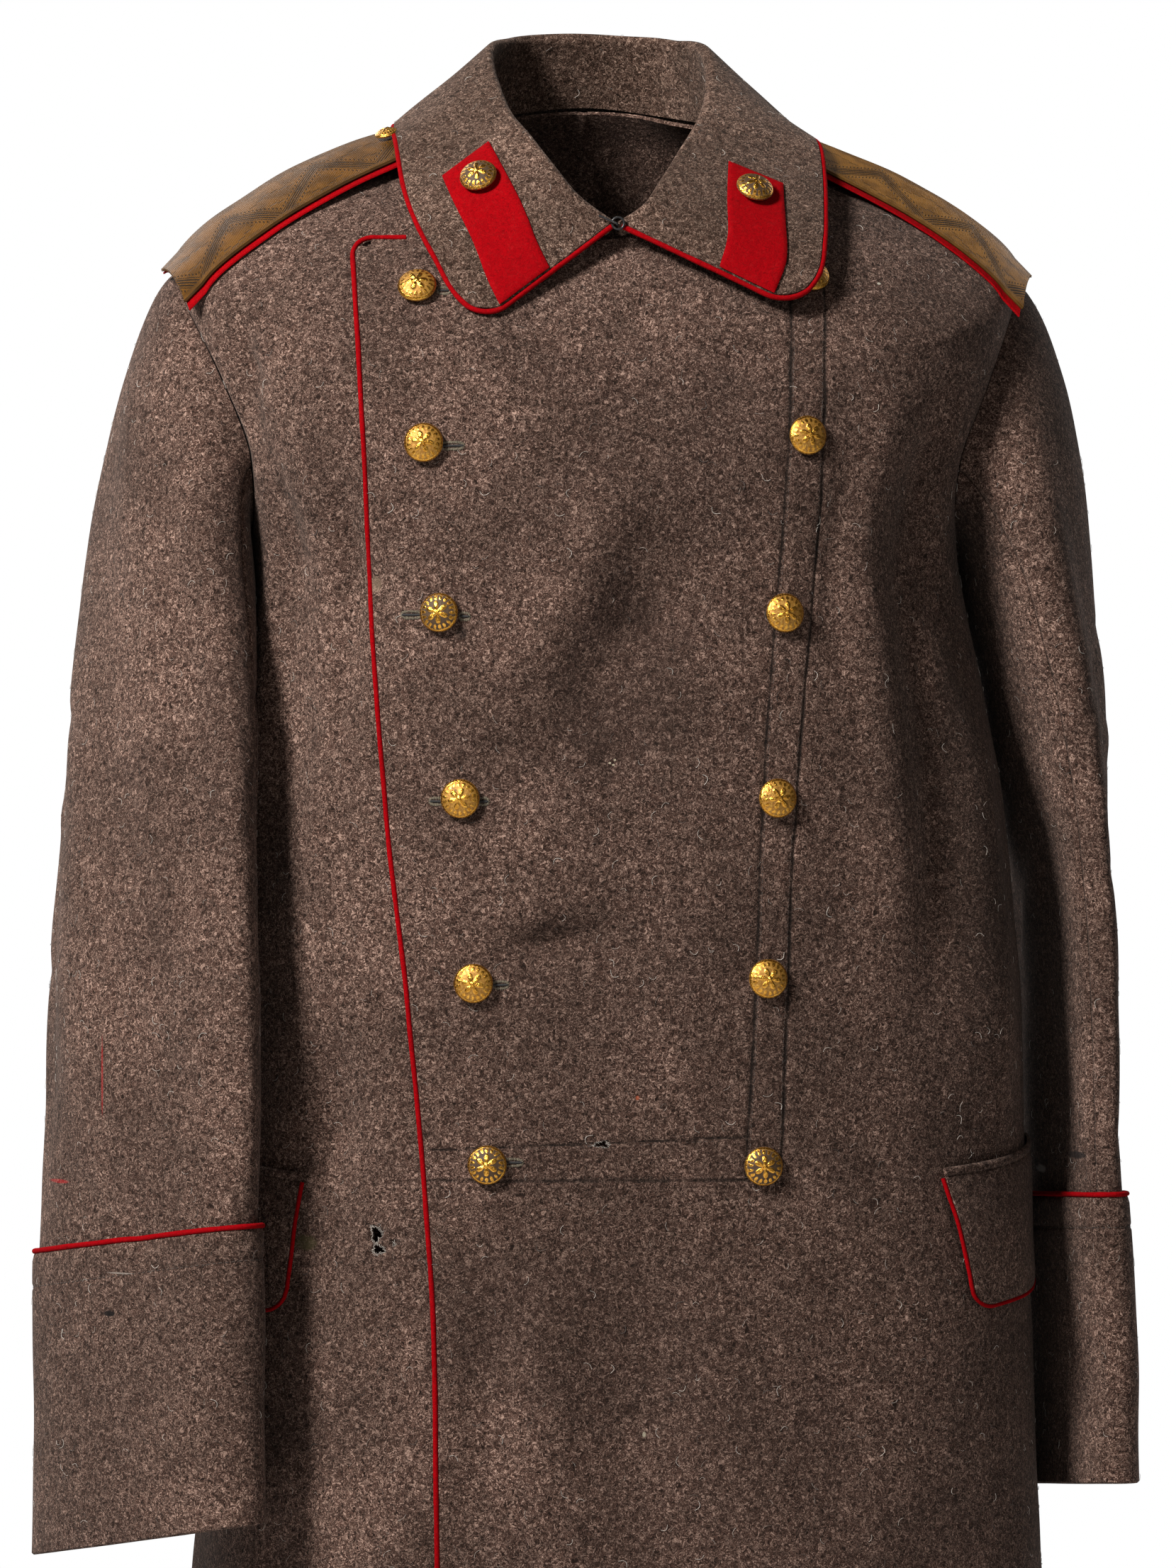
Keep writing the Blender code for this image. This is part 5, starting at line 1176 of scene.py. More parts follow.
# two seams from the shoulder to the waist band beside the left buttons
seamColumns = ("z", "inner", "outer")
seamRows = (
    (-0.06, 0.1, 0.12),
    (-0.115, 0.099, 0.1189),
    (-0.153, 0.0975, 0.1169),
    (-0.225, 0.0922, 0.1129),
    (-0.296, 0.086, 0.1067),
    (-0.362, 0.0805, 0.1005),
    (-0.428, 0.0772, 0.0959),
    (-0.516, 0.074, 0.0925),
    (-0.583, 0.0701, 0.09),
    (-0.607, 0.069, 0.0887),
    (-1.25, 0.066, 0.086),
)
seams = table(seamColumns, seamRows)
# the last width is that of the painted shade along each groove
groove = {"depth": 0.0011, "width": 0.001, "puff": 0.0006, "puffWidth": 0.005, "endZ": -0.607, "shadeWidth": 0.0011}
# the waist band across the over-front: the upper line rises to the side, the lower is level
band = {"upperZ": -0.585, "upperSlope": 0.0395, "upperEnd": 0.0684, "lowerZ": -0.6065, "lowerEnd": 0.1216}


def seamLine(name, farthest):
    rows = np.linspace(0, body["hem"], overlap["steps"])
    x = np.full(rows.shape, seams[name][0])
    for _ in range(4):
        angle = np.minimum(angleAtX(rows, x), math.radians(farthest))
        z = bodyBase(rows, angle)[..., 2]
        x = np.interp(-z, -seams["z"], seams[name])
    return angle


seamLines = {"inner": seamLine("inner", 76.0), "outer": seamLine("outer", 83.0)}


def seamAngle(rows, name):
    return np.interp(rows, np.linspace(0, body["hem"], overlap["steps"]), seamLines[name])


def panelRows():
    upper = np.concatenate([panel["topRows"], np.linspace(0.12, body["tip"], panel["upperRows"])[:-1]])
    turns = np.linspace(0, math.pi, panel["holeRows"] + 1)[:-1]
    hole = body["tip"] + (body["underarm"] - body["tip"]) * (1 - np.cos(turns)) / 2
    dense = np.linspace(body["underarm"], body["hem"], 3000)
    heights = bodyBase(dense, np.full(dense.shape, 0.5))[..., 2]
    top, bottom = panel["band"]
    parts = []
    for start, end, step in (
        (heights[0], top, panel["step"]), (top, bottom, panel["bandStep"]), (bottom, heights[-1], panel["step"])
    ):
        parts.append(np.linspace(start, end, int(round((start - end) / step)) + 1)[(1 if parts else 0):])
    below = np.interp(-np.concatenate(parts), -heights, dense)
    return np.concatenate([upper, hole, below])


def crossing(knots, parts):
    f = [part if i == 0 else part[1:] for i, part in enumerate(parts)]
    return np.concatenate([knots[i][..., None] * (1 - part) + knots[i + 1][..., None] * part
                           for i, part in enumerate(f)], axis=-1)


# a seamed edge rolls in; the second result is painted shade along the seam, wider round the armhole
def rolledIn(rows, angles, edges):
    total, seamShade = np.zeros(angles.shape), np.zeros(angles.shape)
    inHole = ease((rows - body["tip"] + 0.1) / 0.2) * ease((body["underarm"] + 0.1 - rows) / 0.2)
    for edge in edges:
        away = np.abs(angles - edge) * np.linalg.norm(bodyBase(rows, angles)[..., :2], axis=-1)
        total = total + panel["roll"] * (1 + 0.8 * inHole) * (1 - ease(away / (panel["rollReach"] * (1 + inHole))))
        seamShade = np.maximum(seamShade, (0.65 + 0.35 * inHole) * bell(away, 0.001 + 0.0014 * inHole))
    return total, seamShade


# a value on a shell's outer points, 0 on the rest
def markPiece(piece, name, marks):
    values = np.zeros(len(piece.data.vertices), np.float32)
    values[: marks.size] = marks.ravel()
    piece.data.attributes.new(name, "FLOAT", "POINT").data.foreach_set("value", values)
    return piece


woolSkins = []


def clothPanel(name, points, normals, lift, rounded):
    outer = points + normals * lift[..., None]
    woolSkins.append((outer, normals))
    inner = points + normals * (lift - cloth["body"])[..., None]
    piece = shell(name, outer, inner, looks["coat"], rounded=rounded)
    return settle(piece, [name])


rowsDown = panelRows()
pipedLine, underlapLine = edgeAngles(rowsDown)
fine = panel["fine"]


def overKnots(rows):
    piped, _ = edgeAngles(rows)
    side = seamNudge(rows, sideAngle(rows, True), 1)
    inner = np.minimum(seamAngle(rows, "inner"), side - math.radians(9))
    outer = np.minimum(seamAngle(rows, "outer"), side - math.radians(4.5))
    return piped, inner, outer, side


overParts = (spaced(0.205, panel["step"], fine[:2], fine[::-1]), spaced(0.02, 0.004, fine[:2], fine[:2][::-1]),
             spaced(0.15, panel["step"], fine, fine[::-1]))
overCount = sum(len(part) for part in overParts) - 2


# each column has its own row here: the top edge leaves the neckline on the overlap's side
def overOnColumns(rows):
    knots = overKnots(rows)
    angles = np.empty(overCount)
    start = 0
    for i, part in enumerate(overParts):
        part = part if i == 0 else part[1:]
        columns = slice(start, start + len(part))
        angles[columns] = knots[i][columns] * (1 - part) + knots[i + 1][columns] * part
        start += len(part)
    return angles


def overGrid():
    low, high = np.zeros(overCount), np.full(overCount, overlap["topReach"])
    for _ in range(30):
        top = (low + high) / 2
        angles = overOnColumns(top)
        above = (bodyBase(top, angles)[:, 2] > overlap["topZ"]) & (angles < 0)
        low, high = np.where(above, top, low), np.where(above, high, top)
    reach = overlap["topReach"]
    upper = rowsDown[rowsDown < reach]
    rest = rowsDown[rowsDown >= reach]
    grid = np.concatenate([top + (reach - top) * upper[:, None] / reach,
                           np.broadcast_to(rest[:, None], (len(rest), overCount))])
    return grid, np.stack([overOnColumns(row) for row in grid])


def bandUpperZ(x):
    return band["upperZ"] + band["upperSlope"] * x


# seam grooves with a slight puff on both sides, and the band's two lines, with painted shade along each line
def grooves(rows, angles):
    base = bodyBase(rows, angles)
    x, z = base[..., 0], base[..., 2]
    depth, seamShade = np.zeros(x.shape), np.zeros(x.shape)
    above = ease((z - groove["endZ"]) / 0.002)
    fromAxis = np.linalg.norm(base[..., :2], axis=-1)
    outwards = angles > edgeAngles(rows)[0] + 0.004
    lines = [(above, (angles - seamAngle(rows, name)) * fromAxis) for name in ("inner", "outer")]
    lines.append((outwards * ease((band["upperEnd"] + 0.002 - x) / 0.002), z - bandUpperZ(x)))
    lines.append((outwards * ease((band["lowerEnd"] - x) / 0.035), z - band["lowerZ"]))
    for share, away in lines:
        puff = groove["puff"] * bell(away, groove["puffWidth"])
        depth += share * (groove["depth"] * bell(away, groove["width"]) - puff)
        seamShade = np.maximum(seamShade, share * bell(away, groove["shadeWidth"]))
    return depth, seamShade


overRows, overTurns = overGrid()
overPoints, overNormals = bodyPlace(overRows, overTurns, 0.0)
overLifts = overLift(overRows, overTurns)
sideEdge = seamNudge(overRows, sideAngle(overRows, True), 1)
grooveDepth, grooveSeamShade = grooves(overRows, overTurns)
overRoll, overSeamShade = rolledIn(overRows, overTurns, [sideEdge])
frontLeft = clothPanel(
    "front_left", overPoints, overNormals, overLifts - grooveDepth - overRoll, {"left", "bottom", "top"},
)
# painted shade along the front's seams, band lines and armhole
markPiece(frontLeft, "seamShade", np.maximum(grooveSeamShade, overSeamShade))

rightSide = seamNudge(rowsDown, -sideAngle(rowsDown, True), -1)
underParts = (spaced(0.15, panel["step"], fine, ()), spaced(0.225, panel["hidden"]))
underTurns = crossing((rightSide, pipedLine, underlapLine), underParts)
underRows = np.broadcast_to(rowsDown[:, None], underTurns.shape)
underPoints, underNormals = bodyPlace(underRows, underTurns, 0.0)
underRoll, underSeamShade = rolledIn(underRows, underTurns, [rightSide[:, None]])
frontRight = clothPanel("front_right", underPoints, underNormals, -underRoll, {"bottom"})
# painted shade along the side seam
markPiece(frontRight, "seamShade", underSeamShade)
print("fronts:", len(frontLeft.data.vertices), len(frontRight.data.vertices))

for backName, sign in (("back_left", 1), ("back_right", -1)):
    backStart = seamNudge(rowsDown, sign * sideAngle(rowsDown, False), -sign)
    backEnd = seamNudge(rowsDown, np.full(rowsDown.shape, sign * math.pi), sign)
    backTurns = crossing((backStart, backEnd), (spaced(0.27, 0.0062, fine, fine[::-1]),))
    backRows = np.broadcast_to(rowsDown[:, None], backTurns.shape)
    backPoints, backNormals = bodyPlace(backRows, backTurns, 0.0)
    backRoll, backSeamShade = rolledIn(backRows, backTurns, [backStart[:, None], backEnd[:, None]])
    backPiece = clothPanel(backName, backPoints, backNormals, -backRoll, {"bottom"})
    # painted shade along the back's seams
    markPiece(backPiece, "seamShade", backSeamShade)
print("backs done")

# sleeves and cuffs

sleeveGrid = {"headRows": 36, "step": 0.005, "columnDegrees": 4.2, "seamTurn": 0.0025,
              "fineTurns": (0.01, 0.016, 0.026), "cuffColumns": 96, "cuffStitch": 0.018, "headLength": 0.19}
pipe = {"topStart": -0.117, "radius": 0.0015, "frontRise": 0.0008, "flapRadius": 0.0012, "wobble": 0.07}


# a piping's radius swells and thins a little along its way
def pipeRadius(path, radius):
    along = np.cumsum(np.concatenate([[0.0], np.linalg.norm(np.diff(path, axis=0), axis=1)]))
    wave = np.sin(along * 310) * 0.5 + np.sin(along * 127 + 1.3) * 0.5 + np.sin(along * 733 + 0.4) * 0.3
    return radius * (1 + pipe["wobble"] * wave)


def addPiping(name, path, facing, radius, ring=False):
    piece = tube(name, path, facing, pipeRadius(path, radius), looks["felt"], ring=ring)
    return settle(piece, [name])


def sleeveLevels(side):
    levels = sleeve["levels"][side]["z"]
    end = sleeveLevel(side, levels[-1] + sleeve["cuffTurn"])
    count = int((levels[0] - levels[-1]) * (end - 1) / sleeveGrid["step"])
    head = np.concatenate([[0.0, 0.005, 0.011, 0.019], np.linspace(0.028, 1, sleeveGrid["headRows"])[:-1]])
    return np.concatenate([head, np.linspace(1, end, count)])


def addSleeve(word, side):
    firstSeam, secondSeam = (math.radians(degrees) for degrees in sleeve["seams"])
    levels = sleeveLevels(side)
    for part, start, stop in (("top", secondSeam - 2 * math.pi, firstSeam), ("under", firstSeam, secondSeam)):
        start, stop = start + sleeveGrid["seamTurn"], stop - sleeveGrid["seamTurn"]
        closer = sleeveGrid["fineTurns"]
        columnTurn = math.radians(sleeveGrid["columnDegrees"])
        turns = start + (stop - start) * spaced(stop - start, columnTurn, closer, closer[::-1])
        gridLevels, gridTurns = np.meshgrid(levels, turns, indexing="ij")
        points, normals = sleevePlace(side, gridLevels, gridTurns, 0.0)
        edgeAway = np.minimum(gridTurns - start, stop - gridTurns) * 0.07
        seamAway = gridLevels * sleeveGrid["headLength"]
        lift = -panel["roll"] * (1 - ease(edgeAway / panel["rollReach"]))
        piece = clothPanel(f"sleeve_{part}_{word}", points, normals, lift, {"bottom"})
        # painted shade along the sleeve's seams and round the armhole
        markPiece(piece, "seamShade", 0.8 * bell(edgeAway, 0.0009) + bell(seamAway, 0.0016))


def addCuff(word, side):
    hemZ = sleeve["levels"][side]["z"][-1]
    turns = np.linspace(0, 2 * math.pi, sleeveGrid["cuffColumns"] + 1)[:-1]
    stitchZ = hemZ + sleeve["cuffHeight"] - sleeveGrid["cuffStitch"]
    heights = np.concatenate([
        np.linspace(hemZ + sleeve["cuffHeight"], stitchZ + 0.003, 5)[:-1],
        np.linspace(stitchZ + 0.003, stitchZ - 0.003, 7)[:-1],
        np.linspace(stitchZ - 0.003, hemZ, 33),
    ])
    gridZ, gridTurns = np.meshgrid(heights, turns, indexing="ij")
    points, normals = sleevePlace(side, sleeveLevel(side, gridZ), gridTurns, cloth["layerGap"])
    sunk = 0.0008 * bell(gridZ - stitchZ, 0.0012)
    sunk = sunk + 0.0008 * (1 - ease((hemZ + sleeve["cuffHeight"] - gridZ) / 0.003))
    outer = points + normals * (cloth["body"] - sunk)[..., None]
    woolSkins.append((outer, normals))
    piece = shell(f"cuff_{word}", outer, points, looks["coat"], ring=True, rounded={"top", "bottom"})
    # painted shade along the cuff's stitch line
    markPiece(piece, "seamShade", 0.45 * bell(gridZ - stitchZ, 0.001))
    settle(piece, [f"cuff_{word}"])
    above = sleeveLevel(side, hemZ + sleeve["cuffHeight"] + pipe["radius"] + cloth["seamGap"])
    path, facing = sleevePlace(side, np.full(turns.shape, above), turns, cloth["layerGap"] + pipe["radius"])
    addPiping(f"cuff_piping_{word}", path, facing, pipe["radius"], ring=True)
    level = np.full(turns.shape, sleeveLevel(side, stitchZ))
    return sleevePlace(side, level, turns, cloth["layerGap"] + cloth["body"] - 0.0004)


cuffStitches = {}
for word, side in (("left", 1), ("right", -1)):
    addSleeve(word, side)
    cuffStitches[word] = addCuff(word, side)
print("sleeves done")

# collar, its piping and tabs

collarGrid = {"alongCount": 190, "standCount": 8, "rollCount": 10, "fallCount": 26, "tipCount": 7}


def collarSpots():
    tipAlong, tipAcross = collarShape["tipAlong"], collarShape["tipAcross"]
    standEnd, fallStart = collarShape["standEnd"], collarShape["fallStart"]
    tip = np.linspace(0, tipAlong, 8)[:-1]
    along = np.concatenate([tip, np.linspace(tipAlong, 1 - tipAlong, collarGrid["alongCount"]), 1 - tip[::-1]])
    across = np.concatenate([
        np.linspace(0, standEnd, collarGrid["standCount"]),
        np.linspace(standEnd, fallStart, collarGrid["rollCount"])[1:],
        np.linspace(fallStart, 1 - tipAcross, collarGrid["fallCount"])[1:],
        np.linspace(1 - tipAcross, 1, collarGrid["tipCount"])[1:],
    ])
    return along, across


collarAlong, collarAcross = collarSpots()
collarSpot = roundedTips(*np.meshgrid(collarAlong, collarAcross, indexing="ij"))
collarOuter, collarNormals = collarPlace(*collarSpot, cloth["collar"] / 2)
woolSkins.append((collarOuter, collarNormals))
collarInner, _ = collarPlace(*collarSpot, -cloth["collar"] / 2)
collarPiece = shell("collar", collarOuter, collarInner, looks["collar"], rounded={"right", "top", "bottom"})
settle(collarPiece, ["collar"])


def collarEdge():
    free = np.searchsorted(collarAcross, collarShape["fallStart"])
    last = len(collarAlong) - 1
    spots = [(0, j) for j in range(free, len(collarAcross))]
    spots += [(i, len(collarAcross) - 1) for i in range(1, last)]
    spots += [(last, j) for j in reversed(range(free, len(collarAcross)))]
    along, across = (np.array([part[spot] for spot in spots]) for part in collarSpot)
    path, facing = collarPlace(along, across, 0.0)
    outward = awayFrom(path, facing, path.mean(axis=0) + (0.0, 0.0, 0.2))
    return path + outward * (pipe["radius"] + cloth["seamGap"]), facing


addPiping("collar_piping", *collarEdge(), pipe["radius"])

# front and rear ends of each tab: how far round the collar, and its corners down the fall
tabs = {
    "right": ((0.0004, 0.49, 0.88), (0.048, 0.335, 0.745), (0.13, 0.25, 0.69)),
    "left": ((0.0004, 0.57, 0.89), (0.045, 0.44, 0.795), (0.113, 0.305, 0.7)),
}
tabShape = {"gap": 0.0006, "buttonAt": (0.78, 0.44), "buttonRadius": 0.0108, "edgeDrop": 0.00025}


def placeOnTab(word, f, g, height):
    stations = np.array(tabs[word])
    along = stations[0, 0] + (stations[-1, 0] - stations[0, 0]) * f
    upper, lower = (smooth(stations[:, 0], stations[:, k], along) for k in (1, 2))
    along = 1 - along if word == "left" else along
    fallStart = collarShape["fallStart"]
    return collarPlace(along, fallStart + (1 - fallStart) * (upper + (lower - upper) * g), height)


def addTab(word):
    f, g = np.meshgrid(np.linspace(0, 1, 44), np.linspace(0, 1, 14), indexing="ij")
    low = cloth["collar"] / 2 + tabShape["gap"]
    toEdge = np.minimum(np.minimum(f, 1 - f) * 0.065, np.minimum(g, 1 - g) * 0.026)
    thick = cloth["felt"] - tabShape["edgeDrop"] * (1 - ease(toEdge / 0.002))
    outer, _ = placeOnTab(word, f, g, low + thick)
    inner, _ = placeOnTab(word, f, g, low)
    name = f"collar_tab_{word}"
    piece = shell(name, outer, inner, looks["felt"], rounded={"top", "bottom", "left", "right"})
    settle(piece, [name])


# gilt buttons: a roped rim round a six-petalled flower with short rays

button = {"radius": 0.011, "height": 0.0062, "shankRadius": 0.003, "shankHeight": 0.0022, "gap": 0.0004,
          "segments": 84, "rings": 26, "ropes": 42, "rimHeight": 0.00042, "petalHeight": 0.0006,
          "rayHeight": 0.00024, "domeParts": (0.0, 0.3, 0.6, 0.8, 0.93, 1.0),
          "domeHeights": (1.0, 0.93, 0.72, 0.47, 0.22, 0.0), "worn": (("right", 2), ("right", 5), ("left", 5))}


def buttonRelief(part, turn):
    rope = bell(part - 0.945, 0.04) * (0.62 + 0.38 * np.cos(button["ropes"] * turn + 9 * part))
    petal = np.abs(np.cos(3 * turn)) ** 0.55
    flower = ease((0.6 * petal - part) / 0.07) * (0.55 + 0.45 * np.cos(6 * turn) * ease(part / 0.3))
    vein = bell(np.sin(3 * turn), 0.1) * ease((0.5 - part) / 0.1) * 0.3
    centre = 1.25 * bell(part, 0.13)
    rays = bell(part - 0.74, 0.085) * ease((np.cos(18 * turn) + 0.6) / 1.4)
    ring = 0.5 * bell(part - 0.865, 0.016)
    height = button["rimHeight"] * rope + button["petalHeight"] * np.maximum(flower - vein, centre)
    height = height + button["rayHeight"] * rays + 0.00022 * ring
    shown = np.clip(rope + np.maximum(flower - vein, centre) + 0.9 * rays + 0.7 * ring, 0, 1)
    return height, shown


def addButton(name, point, normal, lift, radius, heightScale=1.0, turned=0.0, look="gilt"):
    shank, dome = button["shankHeight"] * heightScale, button["height"] * heightScale
    segments = button["segments"]
    turns = np.arange(segments) * 2 * math.pi / segments
    part = np.linspace(1.0, 0.0, button["rings"] + 1)[:-1]
    smallness = radius / button["radius"]
    domed = shank + dome * (0.22 + 0.78 * np.interp(part, button["domeParts"], button["domeHeights"]))
    relief, shown = buttonRelief(part[:, None], turns[None, :])
    rings = [(button["shankRadius"], 0.0), (button["shankRadius"], shank * 0.8), (radius * 0.95, shank),
             (radius, shank + dome * 0.1)]
    around = np.stack([np.cos(turns), np.sin(turns)], axis=-1)
    points, marks = [], []
    for distance, height in rings:
        points.append(np.concatenate([around * distance, np.full((segments, 1), height)], axis=1))
        marks.append(np.full(segments, 0.35))
    for i in range(len(part)):
        height = domed[i] + relief[i] * smallness * 0.9
        points.append(np.concatenate([around * part[i] * radius, height[:, None]], axis=1))
        marks.append(shown[i])
    top = shank + dome + 1.25 * button["petalHeight"] * smallness
    points = np.concatenate(points + [np.array([[0.0, 0.0, top]])])
    marks = np.concatenate(marks + [np.array([1.0])])
    count = len(rings) + len(part)
    faces = [list(range(segments))[::-1]]
    for i in range(count - 1):
        a = i * segments + np.arange(segments)
        b = i * segments + np.roll(np.arange(segments), -1)
        faces += np.stack([a, b, b + segments, a + segments], axis=1).tolist()
    last = (count - 1) * segments
    faces += [[last + j, last + (j + 1) % segments, len(points) - 1] for j in range(segments)]
    turn = Vector((0, 0, 1)).rotation_difference(Vector(normal)).to_matrix() @ Matrix.Rotation(turned, 3, "Z")
    placed = points @ np.array(turn).T + point + normal * lift
    return settle(markPiece(newPiece(name, placed, faces, looks[look]), "relief", marks), [name])


buttonColumns = ("rightX", "rightZ", "leftX", "leftZ")
buttonRows = (
    (-0.112, -0.106, 0.111, -0.098),
    (-0.11, -0.193, 0.1045, -0.1875),
    (-0.1005, -0.288, 0.091, -0.288),
    (-0.0898, -0.392, 0.086, -0.392),
    (-0.0828, -0.4955, 0.081, -0.4935),
    (-0.0752, -0.5975, 0.0785, -0.5985),
)


def onOverFront(x, z, lift=0.0):
    rows, angles = placeOnFront(x, z)
    return bodyPlace(rows, angles, overLift(rows, angles) + lift)


def addFrontButtons():
    places = table(buttonColumns, buttonRows)
    for i in range(len(buttonRows)):
        for word in ("right", "left"):
            point, normal = onOverFront(places[word + "X"][i], places[word + "Z"][i])
            turned = 0.7 * i + (0.3 if word == "left" else 0.0)
            worn = "giltWorn" if (word, i) in button["worn"] else "gilt"
            name = f"button_{word}_{i + 1}"
            addButton(name, point, normal, button["gap"], button["radius"], turned=turned, look=worn)


addFrontButtons()
for word in tabs:
    addTab(word)
    tabPoint, tabNormal = placeOnTab(word, *tabShape["buttonAt"], 0.0)
    tabLift = cloth["collar"] / 2 + tabShape["gap"] + cloth["felt"] + button["gap"]
    addButton(f"button_tab_{word}", tabPoint, tabNormal, tabLift, tabShape["buttonRadius"], turned=0.4,
              look="giltWorn")
print("collar and buttons done")


# along the over-front's top, round its corner and down its edge
def frontPipingPath():
    corner, topZ = overlap["corner"], overlap["topZ"]
    startX = np.interp(-topZ, -edges["z"], edges["pipedX"])
    across = np.linspace(pipe["topStart"], startX + corner, 10)[:-1]
    turns = np.linspace(0, math.pi / 2, 14)
    z = np.concatenate([np.full(across.shape, topZ), topZ - corner * (1 - np.cos(turns)),
                        np.arange(topZ - corner - 0.004, cloth["hemZ"] + 0.001, -0.004)])
    straight = smooth(-edges["z"], edges["pipedX"], -z)
    bent = np.concatenate([across - straight[: len(across)], corner * (1 - np.sin(turns))])
    x = straight + np.concatenate([bent, np.zeros(len(z) - len(bent))])
    rows, angles = placeOnFront(x, z)
    lift = overLift(rows, angles) - cloth["body"] / 2 + pipe["frontRise"]
    path, facing = bodyPlace(rows, angles, lift)
    outward = awayFrom(path, facing, path.mean(axis=0) + (0.1, 0.0, 0.0))
    return path + outward * (pipe["radius"] + cloth["seamGap"]), facing


addPiping("front_piping", *frontPipingPath(), pipe["radius"])

# shoulder boards

boardColumns = ("out", "fore", "half")
boardRows = (
    (0.106, 0.008, 0.0255),
    (0.13, 0.012, 0.0255),
    (0.158, 0.017, 0.025),
    (0.19, 0.024, 0.0245),
    (0.236, 0.034, 0.024),
)
board = {"turn": 14, "overhang": 0.014, "thickness": 0.0022, "felt": 0.0013, "gap": 0.001, "border": 0.0036,
         "spring": 0.0065, "springEnd": 0.75, "longCount": 64, "crossCount": 26, "buttonRadius": 0.0068,
         "buttonScale": 0.55}
# each board's side, and where its button sits: how far out, and how far back
boardButtons = (("right", -1, 0.1205, -0.011), ("left", 1, 0.108, -0.006))


def boardGrid(side, halfMore):
    rows = table(boardColumns, boardRows)
    at = np.linspace(rows["out"][0], rows["out"][-1], board["longCount"])
    fore, half = (smooth(rows["out"], rows[name], at) for name in boardColumns[1:])
    turn = math.radians(board["turn"])
    edge = np.array([0.0, 0.012, 0.035])
    across = np.concatenate([-1 + edge, np.linspace(-0.93, 0.93, board["crossCount"]), 1 - edge[::-1]])
    reach = across * (half + halfMore)[:, None]
    x = side * (at[:, None] - reach * math.sin(turn))
    return placeOnShoulder(x, -fore[:, None] - reach * math.cos(turn))


def boardPlace(side, rows, angles, lift):
    onFront = np.abs(angles) < math.pi / 2
    coat = np.where(onFront, overLift(rows, np.abs(angles)), 0.0) if side > 0 else 0.0
    along = np.linspace(0, 1, len(rows))[:, None]
    points, normals = bodyPlace(rows, angles, coat + lift + board["spring"] * (1 - ease(along / board["springEnd"])))
    ahead = unit(points[-1] - points[-8]) * board["overhang"]
    beyond = [points[-1] + ahead * part for part in (0.25, 0.5, 0.75, 1.0)]
    return np.concatenate([points, beyond]), normals


def addBoards():
    for word, side, out, back in boardButtons:
        low = board["gap"]
        for name, look, slotName, halfMore, thick in (
            (f"board_felt_{word}", looks["felt"], "red_felt", board["border"], board["felt"]),
            (f"board_{word}", looks["lace" + word.capitalize()], "lace", 0.0, board["thickness"]),
        ):
            grid = boardGrid(side, halfMore)
            outer, _ = boardPlace(side, *grid, low + thick)
            inner, _ = boardPlace(side, *grid, low)
            along = np.cumsum(np.linalg.norm(np.diff(outer[:, 13], axis=0), axis=-1))
            along = np.concatenate([[0.0], along])
            width = np.linalg.norm(np.diff(outer, axis=1), axis=-1)
            across = np.concatenate([np.zeros((len(outer), 1)), np.cumsum(width, axis=1)], axis=1)
            fromFront = across[:, -1:] - across
            cut = np.stack([np.broadcast_to(along[:, None], across.shape), fromFront], axis=-1)
            piece = shell(name, outer, inner, look, rounded={"top", "bottom", "left", "right"}, uv=cut)
            settle(piece, [name])
            low += thick + cloth["seamGap"]
        rows, angles = placeOnShoulder(np.array(side * out), np.array(back))
        point, normal = bodyPlace(rows, angles, low + board["spring"])
        addButton(f"button_board_{word}", point, normal, button["gap"], board["buttonRadius"], board["buttonScale"])


addBoards()
print("boards done")

# pocket flaps

flapColumns = ("side", "frontDeg", "rearDeg", "slant", "frontZ", "rearZ", "depth", "gap")
flapRows = {
    "right": (-1, 50.2, 92.0, 1.2, -0.6095, -0.596, 0.073, 0.0012),
    "left": (1, 42.4, 86.0, 4.0, -0.608, -0.5945, 0.074, 0.0016),
}
flapShape = {"corner": 0.12, "cornerRise": 0.014, "lift": 0.0035, "liftEnd": 0.3, "liftEase": 0.4,
             "weltHeight": 0.005, "weltGap": 0.0006, "downCount": 17}


